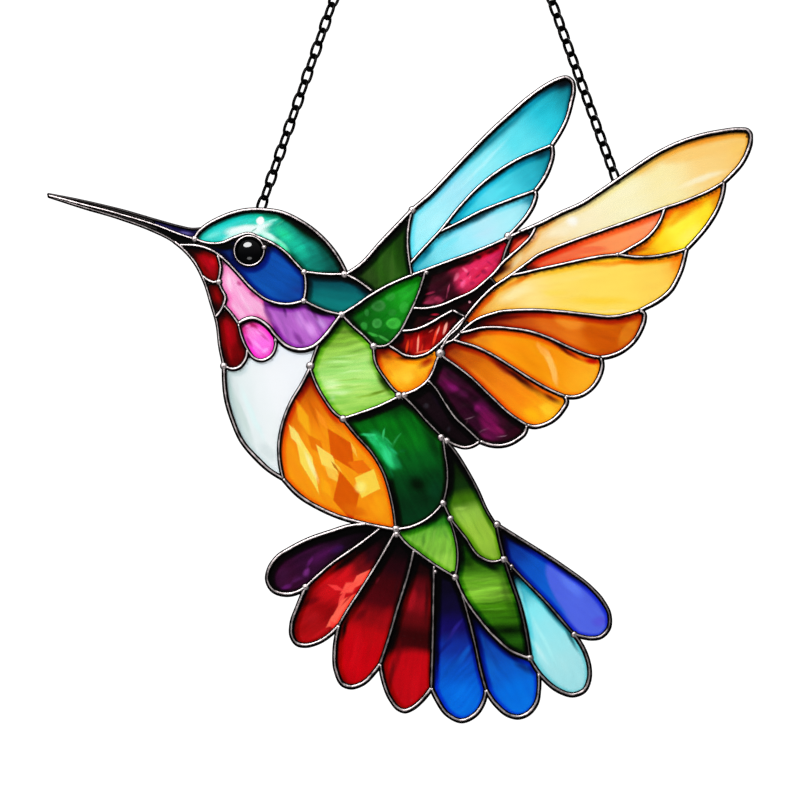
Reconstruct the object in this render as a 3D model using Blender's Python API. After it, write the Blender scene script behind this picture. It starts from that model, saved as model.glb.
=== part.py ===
"""A stained-glass hummingbird that hangs on a chain.

The bird is a flat panel of cut glass held in soldered lead lines, cut from one full-size drawing (the
sheet). On the sheet x runs right from the tip of the bill and z runs up from the lowest tail feather,
in millimetres. The panel stands upright and faces -Y, with the bill toward -X. Two strands of chain
rise from the crown and from the wing to one ring, and the origin is inside the top of that ring, where
a hook carries it.
"""

import math
from itertools import pairwise

import bpy
import numpy as np
from mathutils import Matrix, Vector
from mathutils.geometry import delaunay_2d_cdt

MM = 0.001

# Widths of the lead lines, across their face.
BILL = 1.3
THROAT = 1.7
INNER = 1.9
EDGE = 2.3

LEAD_DEPTH = 4.4
GLASS_DEPTH = 3.0
GAP = 0.3           # between the glass and the lead, and between a chain and what it touches
CHORD = 0.5         # how far a straight facet may stray from the curve it follows
SLACK = 0.08        # how far a corner may lie from the line past it and still be left out
SPAN_STEPS = 8      # of a curve, between two of its points
END_SIDES = 6       # of the rounded end of a line
DROP_SIDES = 8      # of a drop of solder
EYE_SIDES = 24      # of the lead round the eye
END_SHARE = 0.4     # a rounded end's radius, as a share of its line's width

RING_CENTRE = (167.4, 437.8)    # on the sheet
RING_RADIUS = 7.2               # to the middle of its wire
RING_WIRE = 1.6

LINK_LENGTH = 7.4
LINK_WIDTH = 5.3
LINK_WIRE = 0.85
LINK_PITCH = LINK_LENGTH - 2 * LINK_WIRE
LINK_TURN = 35.0                # of a strand's broad links, away from the panel's plane
LINK_CORNER = 0.65              # the width of a link's flat ends, as a share of its own
LINK_SECTION = 0.7 * LINK_WIRE  # the radius of the three-sided wire that a link is faceted to

EYE_CENTRE = (85.9, 200.2)
EYE_RADIUS = 6.3                # to the middle of the lead round it

# Each lead line: its width and the points that its curve runs through.
LEAD_LINES = {
    "bill_ridge": (BILL, [(0.2, 224.3), (14, 221.7), (31, 217.7), (48, 212.8), (56.5, 210.5),
        (61.6, 209.5), (66.3, 209.9)]),
    "bill_gape": (BILL, [(0.4, 223.8), (14, 220.2), (31, 215.7), (48, 210.4), (56.5, 207.1),
        (62.7, 205.1)]),
    "bill_keel": (BILL, [(0.4, 223.5), (14, 219.1), (31, 214), (43.8, 209.3), (52.3, 205.1),
        (57.8, 201)]),
    "crown_rim": (EDGE, [(62.7, 205.3), (64.2, 207.8), (67.1, 210.4), (74.4, 214.4), (83.3, 217.2),
        (91.4, 217.6), (99, 216.6), (107.5, 212.8), (116.5, 206.1), (123, 198.3), (127.2, 190.6)]),
    "brow": (INNER, [(62.7, 205.3), (66.3, 203.8), (70.1, 203.2), (73.7, 203.4), (80.3, 206),
        (85.8, 207.5), (90.5, 205.7), (95.6, 203.4), (101.6, 199.3), (106.5, 194), (109.2, 191.2)]),
    "cheek_back": (INNER, [(109.2, 191.2), (109.9, 187.4), (109.9, 183.2), (109.1, 178.9)]),
    "nape_top": (INNER, [(109.2, 191.2), (118.1, 190.2), (126.6, 190.2)]),
    "nape_wing": (INNER, [(126.6, 190.2), (130.9, 188.1), (138.1, 183)]),
    "cheek_low": (INNER, [(56.1, 202.5), (65, 202), (70.5, 200), (75.6, 196.2), (81.2, 190.4),
        (87.1, 184), (93.9, 179.1), (102, 177.4), (109.1, 178.9)]),
    "nape_low": (INNER, [(109.1, 178.9), (113.9, 176.5), (118.1, 174.7), (125.2, 173)]),
    "throat_front": (THROAT, [(54, 204.2), (57.8, 201), (62.9, 195.1), (67.1, 186.6), (69.6, 178.5),
        (72.1, 170), (73.5, 159.4), (75.2, 151.3)]),
    "breast_front": (EDGE, [(75.2, 151.3), (76.3, 136.8), (78.8, 128.3), (82.5, 119.8), (89.7, 111.3),
        (94.3, 107.1), (100.3, 103.3)]),
    "belly_low": (EDGE, [(100.3, 103.3), (107.5, 95.9), (116, 90.7), (124.5, 87), (133, 84.6),
        (141.5, 82.7), (148.3, 81.4)]),
    "red_one_back": (INNER, [(72.4, 198.5), (73.7, 192.7), (72.7, 187.4)]),
    "red_one_low": (INNER, [(72.7, 187.4), (71.3, 186.7), (69.1, 187.3), (66.1, 189.5)]),
    "red_two_back": (INNER, [(72.9, 186.8), (74, 184), (75.7, 180.6), (74.5, 175.9), (71.4, 171.7)]),
    "red_three_top": (INNER, [(75, 177), (77.6, 174.2), (81.3, 169.2)]),
    "gorget_low": (INNER, [(81.3, 169.2), (84.5, 171.3), (86.9, 171.9), (89.3, 171.6), (93.8, 168.9),
        (97.7, 164), (102, 160.1), (107.4, 158.6), (112, 159.6), (118.1, 164.5), (122.1, 169.4),
        (125.2, 173)]),
    "lobe": (INNER, [(81.3, 169.2), (82.5, 164.2), (85, 158.4), (88.4, 154.3), (91, 153.6),
        (95.2, 155.5), (97.2, 160.2), (96.5, 164.9)]),
    "red_three_low": (INNER, [(75.2, 151.3), (79, 149.9), (81.6, 150.6), (83.5, 152.6), (84.7, 155),
        (85, 158.1)]),
    "breast_top": (INNER, [(116.2, 162.3), (114.2, 157.4), (111.8, 150.4)]),
    "breast_belly": (INNER, [(111.8, 150.4), (108.4, 143.7), (103.5, 135.4), (100.1, 126.6),
        (98.6, 117.7), (98.8, 111.3), (100.3, 103.3)]),
    "belly_shoulder": (INNER, [(111.8, 150.4), (114, 144.2), (118.1, 136.8), (123, 130.6),
        (125.8, 128.8)]),
    "belly_back": (INNER, [(125.8, 128.8), (131, 122.3), (138.3, 114), (143.4, 105), (145.8, 97.2),
        (147.3, 90.1), (148.3, 81.6)]),
    "shoulder_low": (INNER, [(125.8, 128.8), (133, 131.1), (141.5, 134.2), (147.9, 137.3),
        (150.7, 138.8)]),
    "shoulder_back": (INNER, [(138.8, 159.6), (139.5, 153), (143.7, 145.8), (148.6, 140.1),
        (150.7, 138.8)]),
    "scapular_low": (INNER, [(125.2, 173), (130, 168.1), (135.4, 163.3), (138.8, 159.6)]),
    "scapular_back": (INNER, [(161.1, 192.3), (158.3, 183), (153.9, 172.8), (148.1, 163),
        (144.2, 159.8), (141.9, 159.4), (138.8, 159.6)]),
    "wing_top": (INNER, [(125.2, 173), (130.8, 176.4), (137.4, 181), (145.6, 185.7), (154.4, 189.5),
        (162.8, 192.7), (171.5, 195.9), (179.8, 198.9), (188.3, 202.3), (195.5, 205.6), (201.2, 208.2)]),
    "wing_edge": (EDGE, [(201.2, 208.2), (209.5, 211.7), (218, 216), (228, 220.6), (235, 225.2),
        (247.8, 234), (260.5, 242.2), (269, 246.2), (277.5, 249), (286, 250.8), (294.9, 251.7),
        (297.6, 251.4), (299, 249.7), (299.1, 246.9), (298.3, 243.7), (295.5, 237.8), (290.4, 231.9),
        (287.7, 229.3)]),
    "cream_low": (INNER, [(287.7, 229.3), (281.9, 225.9), (273.4, 222.1), (260.5, 217.6),
        (247.8, 212.9), (235, 208.4), (222.1, 203.8), (213.9, 200.6), (209.5, 198.7), (203.2, 194.2),
        (196.8, 189.5), (188.4, 183.6), (184, 179.3), (177.9, 171.9), (174.2, 166.7), (171.3, 164.3),
        (169, 161.1), (167.2, 156.8)]),
    "yellow_edge": (EDGE, [(287.7, 229.3), (287.5, 226.2), (285.5, 219.2), (281.5, 212.1),
        (276.3, 205.6), (271.8, 200.9)]),
    "yellow_low": (INNER, [(271.8, 200.9), (266.7, 199.4), (259.5, 197.9), (251.2, 197.5),
        (242.9, 198.5)]),
    "coral_edge": (INNER, [(262.6, 218.2), (260.3, 212.2), (255.4, 206), (248.6, 201.6),
        (242.9, 198.5)]),
    "coral_low": (INNER, [(242.9, 198.5), (235, 197.7), (226.5, 196.1), (218, 194.2), (209.5, 192.4),
        (201, 190.4), (197.6, 189.8)]),
    "amber_edge": (EDGE, [(271.8, 200.9), (271, 197.2), (269.6, 192.1), (267.7, 187.8), (265.4, 183.8),
        (260.1, 179.1), (255.8, 176.7), (252, 174.8)]),
    "amber_low": (INNER, [(252, 174.8), (247.8, 173.5), (243.5, 172.5), (239.3, 172.1), (230.8, 172.9),
        (218, 174.3), (205.3, 175), (198.9, 174.8), (192.5, 174.2), (188.2, 173), (184.6, 171.8),
        (181.7, 170.3), (178.9, 168.2), (175.5, 165.1)]),
    "rust_edge": (EDGE, [(252, 174.8), (253.9, 173.2), (253.9, 171.1), (252.4, 166.6), (250.1, 162.5),
        (247.1, 159.4), (243.5, 157), (239.3, 155.4), (235.4, 154.8)]),
    "rust_low": (INNER, [(235.4, 154.8), (230.8, 155.6), (222.3, 158.9), (213.8, 162.9),
        (205.3, 165.8), (196.8, 167.1), (190.4, 167.6), (184, 167.2), (179.8, 166.1), (175.5, 165.1)]),
    "orange_edge": (EDGE, [(235.4, 154.8), (236, 151.7), (235.1, 147.5), (231.7, 142), (229.3, 140),
        (226.4, 138.5), (223, 138), (220.2, 138.3)]),
    "orange_low": (INNER, [(220.2, 138.3), (213.8, 141), (205.3, 145.8), (196.8, 151.3),
        (188.3, 156.4), (181.9, 159.4), (175.5, 161.3), (172.7, 162.2)]),
    "tangerine_edge": (EDGE, [(220.2, 138.3), (220.9, 136.2), (219.2, 132.6), (215.3, 128.4),
        (210.8, 126.1), (207.4, 125.4), (204, 126)]),
    "tangerine_low": (INNER, [(204, 126), (196.8, 130.7), (188.3, 138.5), (179.8, 146.6),
        (173.4, 151.5), (168.7, 154.8), (167.2, 156.2)]),
    "feather_roots": (INNER, [(167.2, 156.8), (167.8, 159.2), (169.4, 160.7), (172.7, 162.2),
        (175.5, 165.1)]),
    "plum_edge": (EDGE, [(204, 126), (202.9, 122.5), (200.3, 120.2), (195.1, 117.7), (189.8, 117.4),
        (184, 119.2)]),
    "plum_back": (INNER, [(161.9, 145.1), (164.9, 142), (169.3, 135.2), (173.7, 128.9), (177.9, 125),
        (184, 119.2)]),
    "violet_low": (INNER, [(168.7, 120.5), (173.1, 117.8), (177.9, 116.6), (180.6, 117.1),
        (184, 119.2)]),
    "violet_back": (INNER, [(150.7, 138.8), (155.7, 134.2), (161.5, 127.6), (168.7, 120.5)]),
    "amber_drop": (INNER, [(167.2, 156.6), (165.7, 153.4), (164.2, 149.1), (161.9, 145.1),
        (156.4, 140.8), (150.7, 138.8)]),
    "ruby_three_low": (INNER, [(144.9, 160), (148.1, 158.2), (152, 155.8), (156, 155.1),
        (160.8, 156.1), (165.7, 159.5), (171.3, 165.3), (175.1, 169.4), (177.7, 171.9)]),
    "ruby_two_low": (INNER, [(150.9, 166), (156.8, 166.7), (162.8, 169.2), (167, 171.7),
        (172.6, 174.8)]),
    "ruby_notch": (INNER, [(172.6, 174.8), (174.7, 173.6), (177.7, 172.1)]),
    "ruby_one_low": (INNER, [(155.5, 175.8), (160.8, 175.6), (167, 176.8), (174, 179.7),
        (181.4, 183.2), (186.2, 187.1), (190, 190.6), (193.8, 195.1), (197.6, 198.5), (201.9, 202.3),
        (205.3, 205.8), (207.8, 210.4)]),
    "garnet_back": (INNER, [(197.6, 206.5), (196.8, 204.4), (195.3, 200.8), (193.7, 195.9)]),
    "ruby_two_top": (INNER, [(188.1, 188.7), (189.5, 187.4), (190.8, 185.8)]),
    "ice_edge": (EDGE, [(155.3, 217.6), (163, 224.2), (171.5, 233.1), (180, 242), (188.5, 250.6),
        (197, 258.4), (205.5, 265.8), (213.9, 271.4), (218, 273.3), (220.9, 273.8), (223.2, 272.2),
        (223.8, 269), (222.8, 263.3), (220.6, 255.6), (216.8, 248.4), (214.5, 245)]),
    "ice_low": (INNER, [(214.5, 245), (209.5, 243), (201, 239.4), (192.5, 234.4), (184, 227.8),
        (175.5, 219), (167, 208.5), (159.8, 200.8), (154.3, 194.7)]),
    "aqua_edge": (EDGE, [(214.5, 245), (214.9, 242.2), (213.1, 234.6), (209.5, 228.2), (207.4, 225.7)]),
    "aqua_low": (INNER, [(207.4, 225.7), (201, 223.4), (192.5, 220.2), (184, 216.8), (175.5, 212.3),
        (167, 208.2)]),
    "sky_edge": (EDGE, [(207.4, 225.7), (207.8, 223.9), (207.2, 221.2), (204.4, 215.7), (199.8, 210.2),
        (195.9, 206.3)]),
    "forest_edge": (EDGE, [(126.6, 189.8), (133, 194), (141.5, 203.2), (150, 212), (155.3, 217.6)]),
    "forest_back": (INNER, [(155.3, 217.6), (153.9, 211.8), (153.3, 202.6), (153.7, 198), (154.9, 190)]),
    "back_edge": (INNER, [(168.3, 120.5), (169.3, 113.5), (170.2, 107.1), (170, 99.9), (168.4, 92.9)]),
    "rump_edge": (EDGE, [(168.7, 120.5), (172.8, 116.2), (178.5, 107.8), (183.4, 99.2), (187.8, 89.5),
        (191.2, 83.7)]),
    "rump_side": (EDGE, [(191.2, 83.7), (192.5, 76.9), (194.4, 69.1)]),
    "rump_low": (INNER, [(194.4, 69.1), (189.3, 67.9), (184, 70), (177.7, 78.3), (171.5, 86.5),
        (168.4, 92.9)]),
    "back_low": (INNER, [(148.3, 81.6), (155.7, 83.1), (162.8, 87), (168.4, 92.9)]),
    "leaf_back": (INNER, [(171.1, 86.3), (173.2, 80.2), (174.6, 72.4), (174.4, 65.9), (173.4, 61.4)]),
    "leaf_low": (INNER, [(148.3, 81), (153, 75.3), (158.5, 71.1), (166, 65.8), (173.4, 61.4)]),
    "covert_front": (EDGE, [(173.4, 61.4), (177.1, 53.1), (182.9, 44.5), (189.4, 36.8), (198.1, 29.5),
        (205.3, 26.8)]),
    "covert_back": (EDGE, [(194.4, 69.1), (197.5, 59.6), (200.8, 49.9), (203.2, 40.1), (205.3, 26.8)]),
    "tail_cyan": (EDGE, [(205.3, 26.8), (207.3, 23.3), (211.1, 18.4), (218.2, 12.9), (223.6, 11.4),
        (228.2, 13.2), (230.5, 18.4), (230.6, 22.2), (229, 28.7), (224.1, 37.1)]),
    "tail_seven_top": (INNER, [(194.4, 69.1), (201.9, 61.2), (212.8, 50.1), (221.4, 40.1),
        (224.1, 37.1)]),
    "tail_indigo": (EDGE, [(191.2, 83.7), (200.1, 78.7), (209.8, 72.9), (220.9, 65.6), (231.7, 57.2),
        (236.4, 51.5), (239, 45.6), (238.6, 39.5), (235, 36), (231.7, 35.5), (228.4, 35.9),
        (224.1, 37.1)]),
    "tail_purple": (EDGE, [(135.6, 83.9), (128.2, 83), (120.3, 80.5), (111.8, 77.6), (103.3, 73.4),
        (98, 70), (94.4, 64.8), (93.6, 60.4), (95.8, 56.1), (100.9, 54.2), (107.5, 55.6),
        (110.1, 57.4)]),
    "tail_two_top": (INNER, [(141.5, 82), (133.1, 75.5), (120.3, 66.5), (110.1, 57.4)]),
    "tail_scarlet": (EDGE, [(110.1, 57.4), (106.8, 49.4), (104, 41.2), (104.1, 36.5), (106.5, 33.1),
        (109.2, 32.5), (114.6, 33.6), (120.3, 37.1), (124.1, 41)]),
    "tail_three_top": (INNER, [(147.9, 80.3), (142.9, 71.4), (133.1, 55.5), (127.8, 47.4), (124.1, 41)]),
    "tail_crimson": (EDGE, [(124.1, 41), (122.4, 30.6), (122.8, 22.1), (126.3, 15.6), (129.2, 14.8),
        (133.1, 15.8), (140, 22.3), (141.7, 24.6)]),
    "tail_four_top": (EDGE, [(156.1, 73.1), (153.3, 61.6), (149, 47.9), (144.8, 33.7), (141.7, 24.6)]),
    "tail_ruby": (EDGE, [(141.7, 24.6), (143.2, 16.7), (146.1, 9.6), (149.7, 5.4), (152, 4.6),
        (154.5, 5.4), (158.9, 8.8), (163.4, 14.4)]),
    "tail_five_top": (EDGE, [(164.5, 66.3), (164.3, 52.7), (163.9, 30.6), (163.4, 14.4)]),
    "tail_navy": (EDGE, [(163.4, 14.4), (165.9, 9.2), (170.3, 3.1), (176.2, 0.4), (182, 3.1),
        (185.6, 8.7), (186.6, 13.6)]),
    "tail_six_top": (EDGE, [(176, 55.2), (178.8, 45.6), (181.8, 33.6), (184.5, 21.2), (186.6, 13.6)]),
    "tail_blue": (EDGE, [(186.6, 13.6), (191, 7.2), (196.5, 2.8), (200.3, 2), (203.6, 3), (208, 8.1),
        (209, 13.6), (209, 20.6)]),
}

# The larger drops of solder where lines meet: x, z and radius.
SOLDER_DROPS = [
    (111.9, 151.3, 1.5), (148.4, 80.8, 2.1), (150.6, 138.7, 2.0), (167.2, 156.6, 1.9), (168.4, 92.9, 1.7),
    (173.4, 61.4, 1.8), (191.2, 83.8, 1.9), (194.3, 69.1, 1.9), (196.3, 206.5, 1.7), (205.2, 27, 1.8),
]

# Each pane: a point inside it, and its colour.
PANES = {
    "bill_upper": ((48.5, 211.4), "#1a1433"),
    "bill_lower": ((52, 207.4), "#0c0a14"),
    "crown": ((93, 212), "#23bfae"),
    "cheek": ((82, 193), "#0a4aa6"),
    "nape": ((117, 183), "#067a78"),
    "throat_top": ((68, 194), "#a80012"),
    "throat_middle": ((71, 182), "#8c0010"),
    "throat_low": ((77, 162), "#a80012"),
    "gorget": ((95, 177), "#e09ae0"),
    "gorget_lobe": ((90, 160), "#ff7ae0"),
    "breast": ((90, 137), "#e8eef2"),
    "belly": ((120, 111), "#f78a0a"),
    "shoulder": ((127, 150), "#a8e060"),
    "back": ((154, 116), "#00601c"),
    "scapular": ((146, 175), "#0c8a14"),
    "wing_forest": ((144, 196), "#24500c"),
    "wing_ice": ((205, 256), "#7adcee"),
    "wing_aqua": ((197, 230), "#44d4e6"),
    "wing_sky": ((188, 211), "#a8eaf8"),
    "ruby_upper": ((180, 192), "#c81c50"),
    "ruby_band": ((167, 174), "#2a0008"),
    "ruby_lower": ((161, 162), "#c01008"),
    "garnet": ((200, 205), "#8a1c08"),
    "feather_cream": ((244, 220), "#fff0b0"),
    "feather_coral": ((244, 207), "#fd7a44"),
    "feather_yellow": ((273, 211), "#ffd028"),
    "feather_amber": ((235, 186), "#fddc60"),
    "feather_rust": ((231, 164), "#d96400"),
    "feather_orange": ((218, 150), "#fb9a08"),
    "feather_tangerine": ((201, 137), "#f49018"),
    "amber_drop": ((154, 148), "#ffb020"),
    "feather_plum": ((184, 130), "#4a0844"),
    "feather_violet": ((167, 130), "#0e0410"),
    "leaf": ((163, 75), "#7ac03c"),
    "rump": ((180, 86), "#9cc83c"),
    "covert": ((188, 52), "#6eb81c"),
    "tail_purple": ((108, 65), "#2a0634"),
    "tail_scarlet": ((116, 48), "#d01018"),
    "tail_crimson": ((135, 35), "#c00010"),
    "tail_ruby": ((154, 31), "#b4000e"),
    "tail_navy": ((173, 22), "#0a48b0"),
    "tail_blue": ((195, 18), "#0a6adc"),
    "tail_cyan": ((218, 26), "#90e6ea"),
    "tail_indigo": ((222, 52), "#3a5ee0"),
}

# Each strand of chain: the middle of its lowest link on the sheet, how far that link is turned, and how
# far the strand twists on its way up. Both strands reach the ring with a link turned edge-on.
STRANDS = {
    "chain_left": ((91.6, 219.3), LINK_TURN, 0.0),
    "chain_right": ((241.7, 232.7), LINK_TURN - 90, 90.0),
}
STRAND_BEHIND = 4.5             # how far behind the panel's middle the lowest links lie
TWIST_START = 0.4               # how far up a strand its twist begins, as a share of the way
TOP_LINK = 8.1                  # from the ring's middle to that of the link that hangs on it


def linear(hex_colour):
    """The linear values of an sRGB colour written as #rrggbb."""
    values = [int(hex_colour[i : i + 2], 16) / 255 for i in (1, 3, 5)]
    return [v / 12.92 if v <= 0.04045 else ((v + 0.055) / 1.055) ** 2.4 for v in values]


def material(name, hex_colour, roughness, metallic=0.0, transmission=0.0):
    made = bpy.data.materials.new(name)
    made.use_nodes = True
    shader = made.node_tree.nodes["Principled BSDF"]
    shader.inputs["Base Color"].default_value = (*linear(hex_colour), 1)
    shader.inputs["Roughness"].default_value = roughness
    shader.inputs["Metallic"].default_value = metallic
    shader.inputs["Transmission Weight"].default_value = transmission
    made.diffuse_color = (*linear(hex_colour), 1)
    return made


def smooth(points):
    """A curve through the points, as straight runs that stay within the chord distance of it.

    Each span is a cubic whose end slopes are those of the parabola through three neighbouring points.
    """
    knots = np.array(points, float)
    spans = np.diff(knots, axis=0)
    lengths = np.linalg.norm(spans, axis=1)[:, None]
    rates = spans / lengths
    slopes = np.empty_like(knots)
    slopes[1:-1] = (rates[:-1] * lengths[1:] + rates[1:] * lengths[:-1]) / (lengths[1:] + lengths[:-1])
    slopes[0] = 1.5 * rates[0] - 0.5 * (slopes[1] if len(knots) > 2 else rates[0])
    slopes[-1] = 1.5 * rates[-1] - 0.5 * (slopes[-2] if len(knots) > 2 else rates[-1])

    t = (np.arange(1, SPAN_STEPS + 1) / SPAN_STEPS)[:, None]
    run = [knots[:1]]
    for i, length in enumerate(lengths):
        run.append(
            (2 * t**3 - 3 * t**2 + 1) * knots[i]
            + (t**3 - 2 * t**2 + t) * length * slopes[i]
            + (3 * t**2 - 2 * t**3) * knots[i + 1]
            + (t**3 - t**2) * length * slopes[i + 1]
        )
    return thinned(np.concatenate(run))


def thinned(run):
    """The run without the points that lie within the chord distance of the straight line past them."""
    along = run[-1] - run[0]
    offsets = np.abs(along[0] * (run - run[0])[:, 1] - along[1] * (run - run[0])[:, 0])
    offsets /= np.linalg.norm(along) or 1
    far = int(np.argmax(offsets))
    if offsets[far] <= CHORD:
        return run[[0, -1]]
    return np.concatenate([thinned(run[: far + 1])[:-1], thinned(run[far:])])


def circle(centre, radius, sides, start=0.0):
    turns = start + np.arange(sides) * 2 * math.pi / sides
    return np.array(centre) + radius * np.stack([np.cos(turns), np.sin(turns)], axis=1)


def ribbon(run, width):
    """The quads of a ribbon of this width along the run, mitred at its bends."""
    along = np.diff(run, axis=0)
    along /= np.linalg.norm(along, axis=1)[:, None]
    across = np.stack([-along[:, 1], along[:, 0]], axis=1)
    before = np.concatenate([across[:1], across])
    after = np.concatenate([across, across[-1:]])
    mitre = (before + after) / (1 + np.sum(before * after, axis=1))[:, None]
    left = run + mitre * width / 2
    right = run - mitre * width / 2
    return [np.array(quad) for quad in zip(right[:-1], right[1:], left[1:], left[:-1])]


def lead_shapes(extra):
    """Polygons that together cover the lead, with each line and drop wider by extra on each side."""
    shapes = []
    for width, points in LEAD_LINES.values():
        run = smooth(points)
        shapes += ribbon(run, width + 2 * extra)
        ends = (run[0], run[-1])
        shapes += [circle(end, END_SHARE * width + extra, END_SIDES) for end in ends]
    ring = circle(EYE_CENTRE, EYE_RADIUS, EYE_SIDES)
    shapes += ribbon(np.concatenate([ring, ring[:2]]), INNER + 2 * extra)
    shapes += [circle((x, z), radius + extra, DROP_SIDES) for x, z, radius in SOLDER_DROPS]
    return shapes


def outlines(shapes):
    """The closed outlines of the area that the shapes cover: the outer one first, then its holes."""
    corners = [Vector(corner) for shape in shapes for corner in shape]
    counts = np.cumsum([0] + [len(shape) for shape in shapes])
    faces = [list(range(a, b)) for a, b in pairwise(counts)]
    points, _, triangles, _, _, sources = delaunay_2d_cdt(corners, [], faces, 0, 1e-4)
    covered = [tri for tri, source in zip(triangles, sources) if source]
    edges = {(tri[i], tri[(i + 1) % 3]) for tri in covered for i in range(3)}
    leaving = {}
    for start, end in edges:
        if (end, start) not in edges:
            leaving.setdefault(start, []).append(end)

    loops = []
    while leaving:
        loop = [next(iter(leaving))]
        while loop[-1] in leaving:
            here = loop[-1]
            ends = leaving[here]
            back = points[loop[-2]] - points[here] if len(loop) > 1 else Vector((1, 0))
            ends.sort(key=lambda end: clockwise(back, points[end] - points[here]))
            loop.append(ends.pop(0))
            if not ends:
                del leaving[here]
        loops.append(straightened(np.array([points[i] for i in loop[:-1]])))
    loops.sort(key=area, reverse=True)
    return loops


def clockwise(start, end):
    """How far a turn from one direction to another goes, clockwise, in radians above zero."""
    turn = math.atan2(start.y, start.x) - math.atan2(end.y, end.x)
    return turn % (2 * math.pi) or 2 * math.pi


def area(loop):
    """The signed area inside a closed outline: above zero where it runs anticlockwise."""
    x, z = loop.T
    return 0.5 * float(np.sum(x * np.roll(z, -1) - z * np.roll(x, -1)))


def straightened(loop):
    """The outline without the corners that lie within the slack of the line past them."""
    kept = list(loop)
    changed = True
    while changed:
        changed = False
        i = 0
        while i < len(kept) and len(kept) > 3:
            before, here, after = kept[i - 1], kept[i], kept[(i + 1) % len(kept)]
            along = after - before
            length = np.linalg.norm(along)
            offset = abs(along[0] * (here - before)[1] - along[1] * (here - before)[0])
            if length < SLACK or offset / length < SLACK:
                kept.pop(i)
                changed = True
            else:
                i += 1
    return np.array(kept)


def holds(loop, point):
    """Whether the closed outline goes round the point."""
    a, b = loop, np.roll(loop, -1, axis=0)
    crosses = (a[:, 1] > point[1]) != (b[:, 1] > point[1])
    level = np.where(crosses, b[:, 1] - a[:, 1], 1)
    at = a[:, 0] + (point[1] - a[:, 1]) * (b[:, 0] - a[:, 0]) / level
    return bool(np.count_nonzero(crosses & (at > point[0])) % 2)


def new_object(name, data, collection, parent=None):
    made = bpy.data.objects.new(name, data)
    made.parent = parent
    collection.objects.link(made)
    return made


def plate(name, loops, depth, collection, panel, look):
    """A flat plate with these outlines, with its depth shared out to both sides of the sheet."""
    curve = bpy.data.curves.new(name, "CURVE")
    curve.dimensions = "2D"
    curve.fill_mode = "BOTH"
    curve.extrude = depth / 2 * MM
    for loop in loops:
        spline = curve.splines.new("POLY")
        spline.points.add(len(loop) - 1)
        flat = np.zeros((len(loop), 4))
        flat[:, :2] = loop * MM
        flat[:, 3] = 1
        spline.points.foreach_set("co", flat.ravel())
        spline.use_cyclic_u = True
    curve.materials.append(look)
    return new_object(name, curve, collection, panel)


def hung(x, z, y=0.0):
    """A point of the sheet in the ornament's own frame, in metres."""
    origin = RING_CENTRE[1] + RING_RADIUS - RING_WIRE / 2
    return Vector((x - RING_CENTRE[0], y, z - origin)) * MM


def make_leading(collection, panel, pane_outlines):
    """The soldered lead: every opening that holds a pane stays open, and the narrow ones fill."""
    outer, *rest = outlines(lead_shapes(0))
    seeds = [seed for seed, _ in pane_outlines.values()] + [EYE_CENTRE]
    holes = [loop for loop in rest if area(loop) < 0 and any(holds(loop, seed) for seed in seeds)]
    look = material("solder", "#4a4648", 0.35, metallic=0.9)
    plate("leading", [outer, *holes], LEAD_DEPTH, collection, panel, look)


def find_panes():
    """The outline of each pane: the opening round its point, short of the lead by the gap."""
    holes = [loop[::-1] for loop in outlines(lead_shapes(GAP)) if area(loop) < 0]
    return {
        name: (seed, next(loop for loop in holes if holds(loop, seed)))
        for name, (seed, _) in PANES.items()
    }


def make_panes(collection, panel, pane_outlines):
    for name, (_, outline) in pane_outlines.items():
        look = material(f"glass_{name}", PANES[name][1], 0.08, transmission=0.3)
        plate(f"glass_{name}", [outline], GLASS_DEPTH, collection, panel, look)


def make_eye(collection, panel):
    """The eye: a black glass bead, flat like a lentil."""
    bpy.ops.mesh.primitive_uv_sphere_add(segments=16, ring_count=6, radius=1)
    eye = bpy.context.object
    eye.name = eye.data.name = "eye_bead"
    bead = EYE_RADIUS - INNER / 2 - GAP
    eye.data.transform(Matrix.Diagonal((bead * MM, bead * MM, LEAD_DEPTH / 2 * MM, 1)))
    eye.data.shade_smooth()
    eye.data.materials.append(material("eye_black", "#050506", 0.05))
    for other in eye.users_collection:
        other.objects.unlink(eye)
    collection.objects.link(eye)
    eye.parent = panel
    eye.location = (EYE_CENTRE[0] * MM, EYE_CENTRE[1] * MM, 0)


def make_ring(collection):
    bpy.ops.mesh.primitive_torus_add(
        major_radius=RING_RADIUS * MM,
        minor_radius=RING_WIRE / 2 * MM,
        major_segments=16,
        minor_segments=5,
        location=hung(*RING_CENTRE),
        rotation=(math.pi / 2, 0, 0),
    )
    ring = bpy.context.object
    ring.name = ring.data.name = "hanging_ring"
    ring.data.shade_smooth()
    ring.data.materials.append(material("ring_steel", "#2a2829", 0.35, metallic=0.9))
    for other in ring.users_collection:
        other.objects.unlink(ring)
    collection.objects.link(ring)


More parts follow.
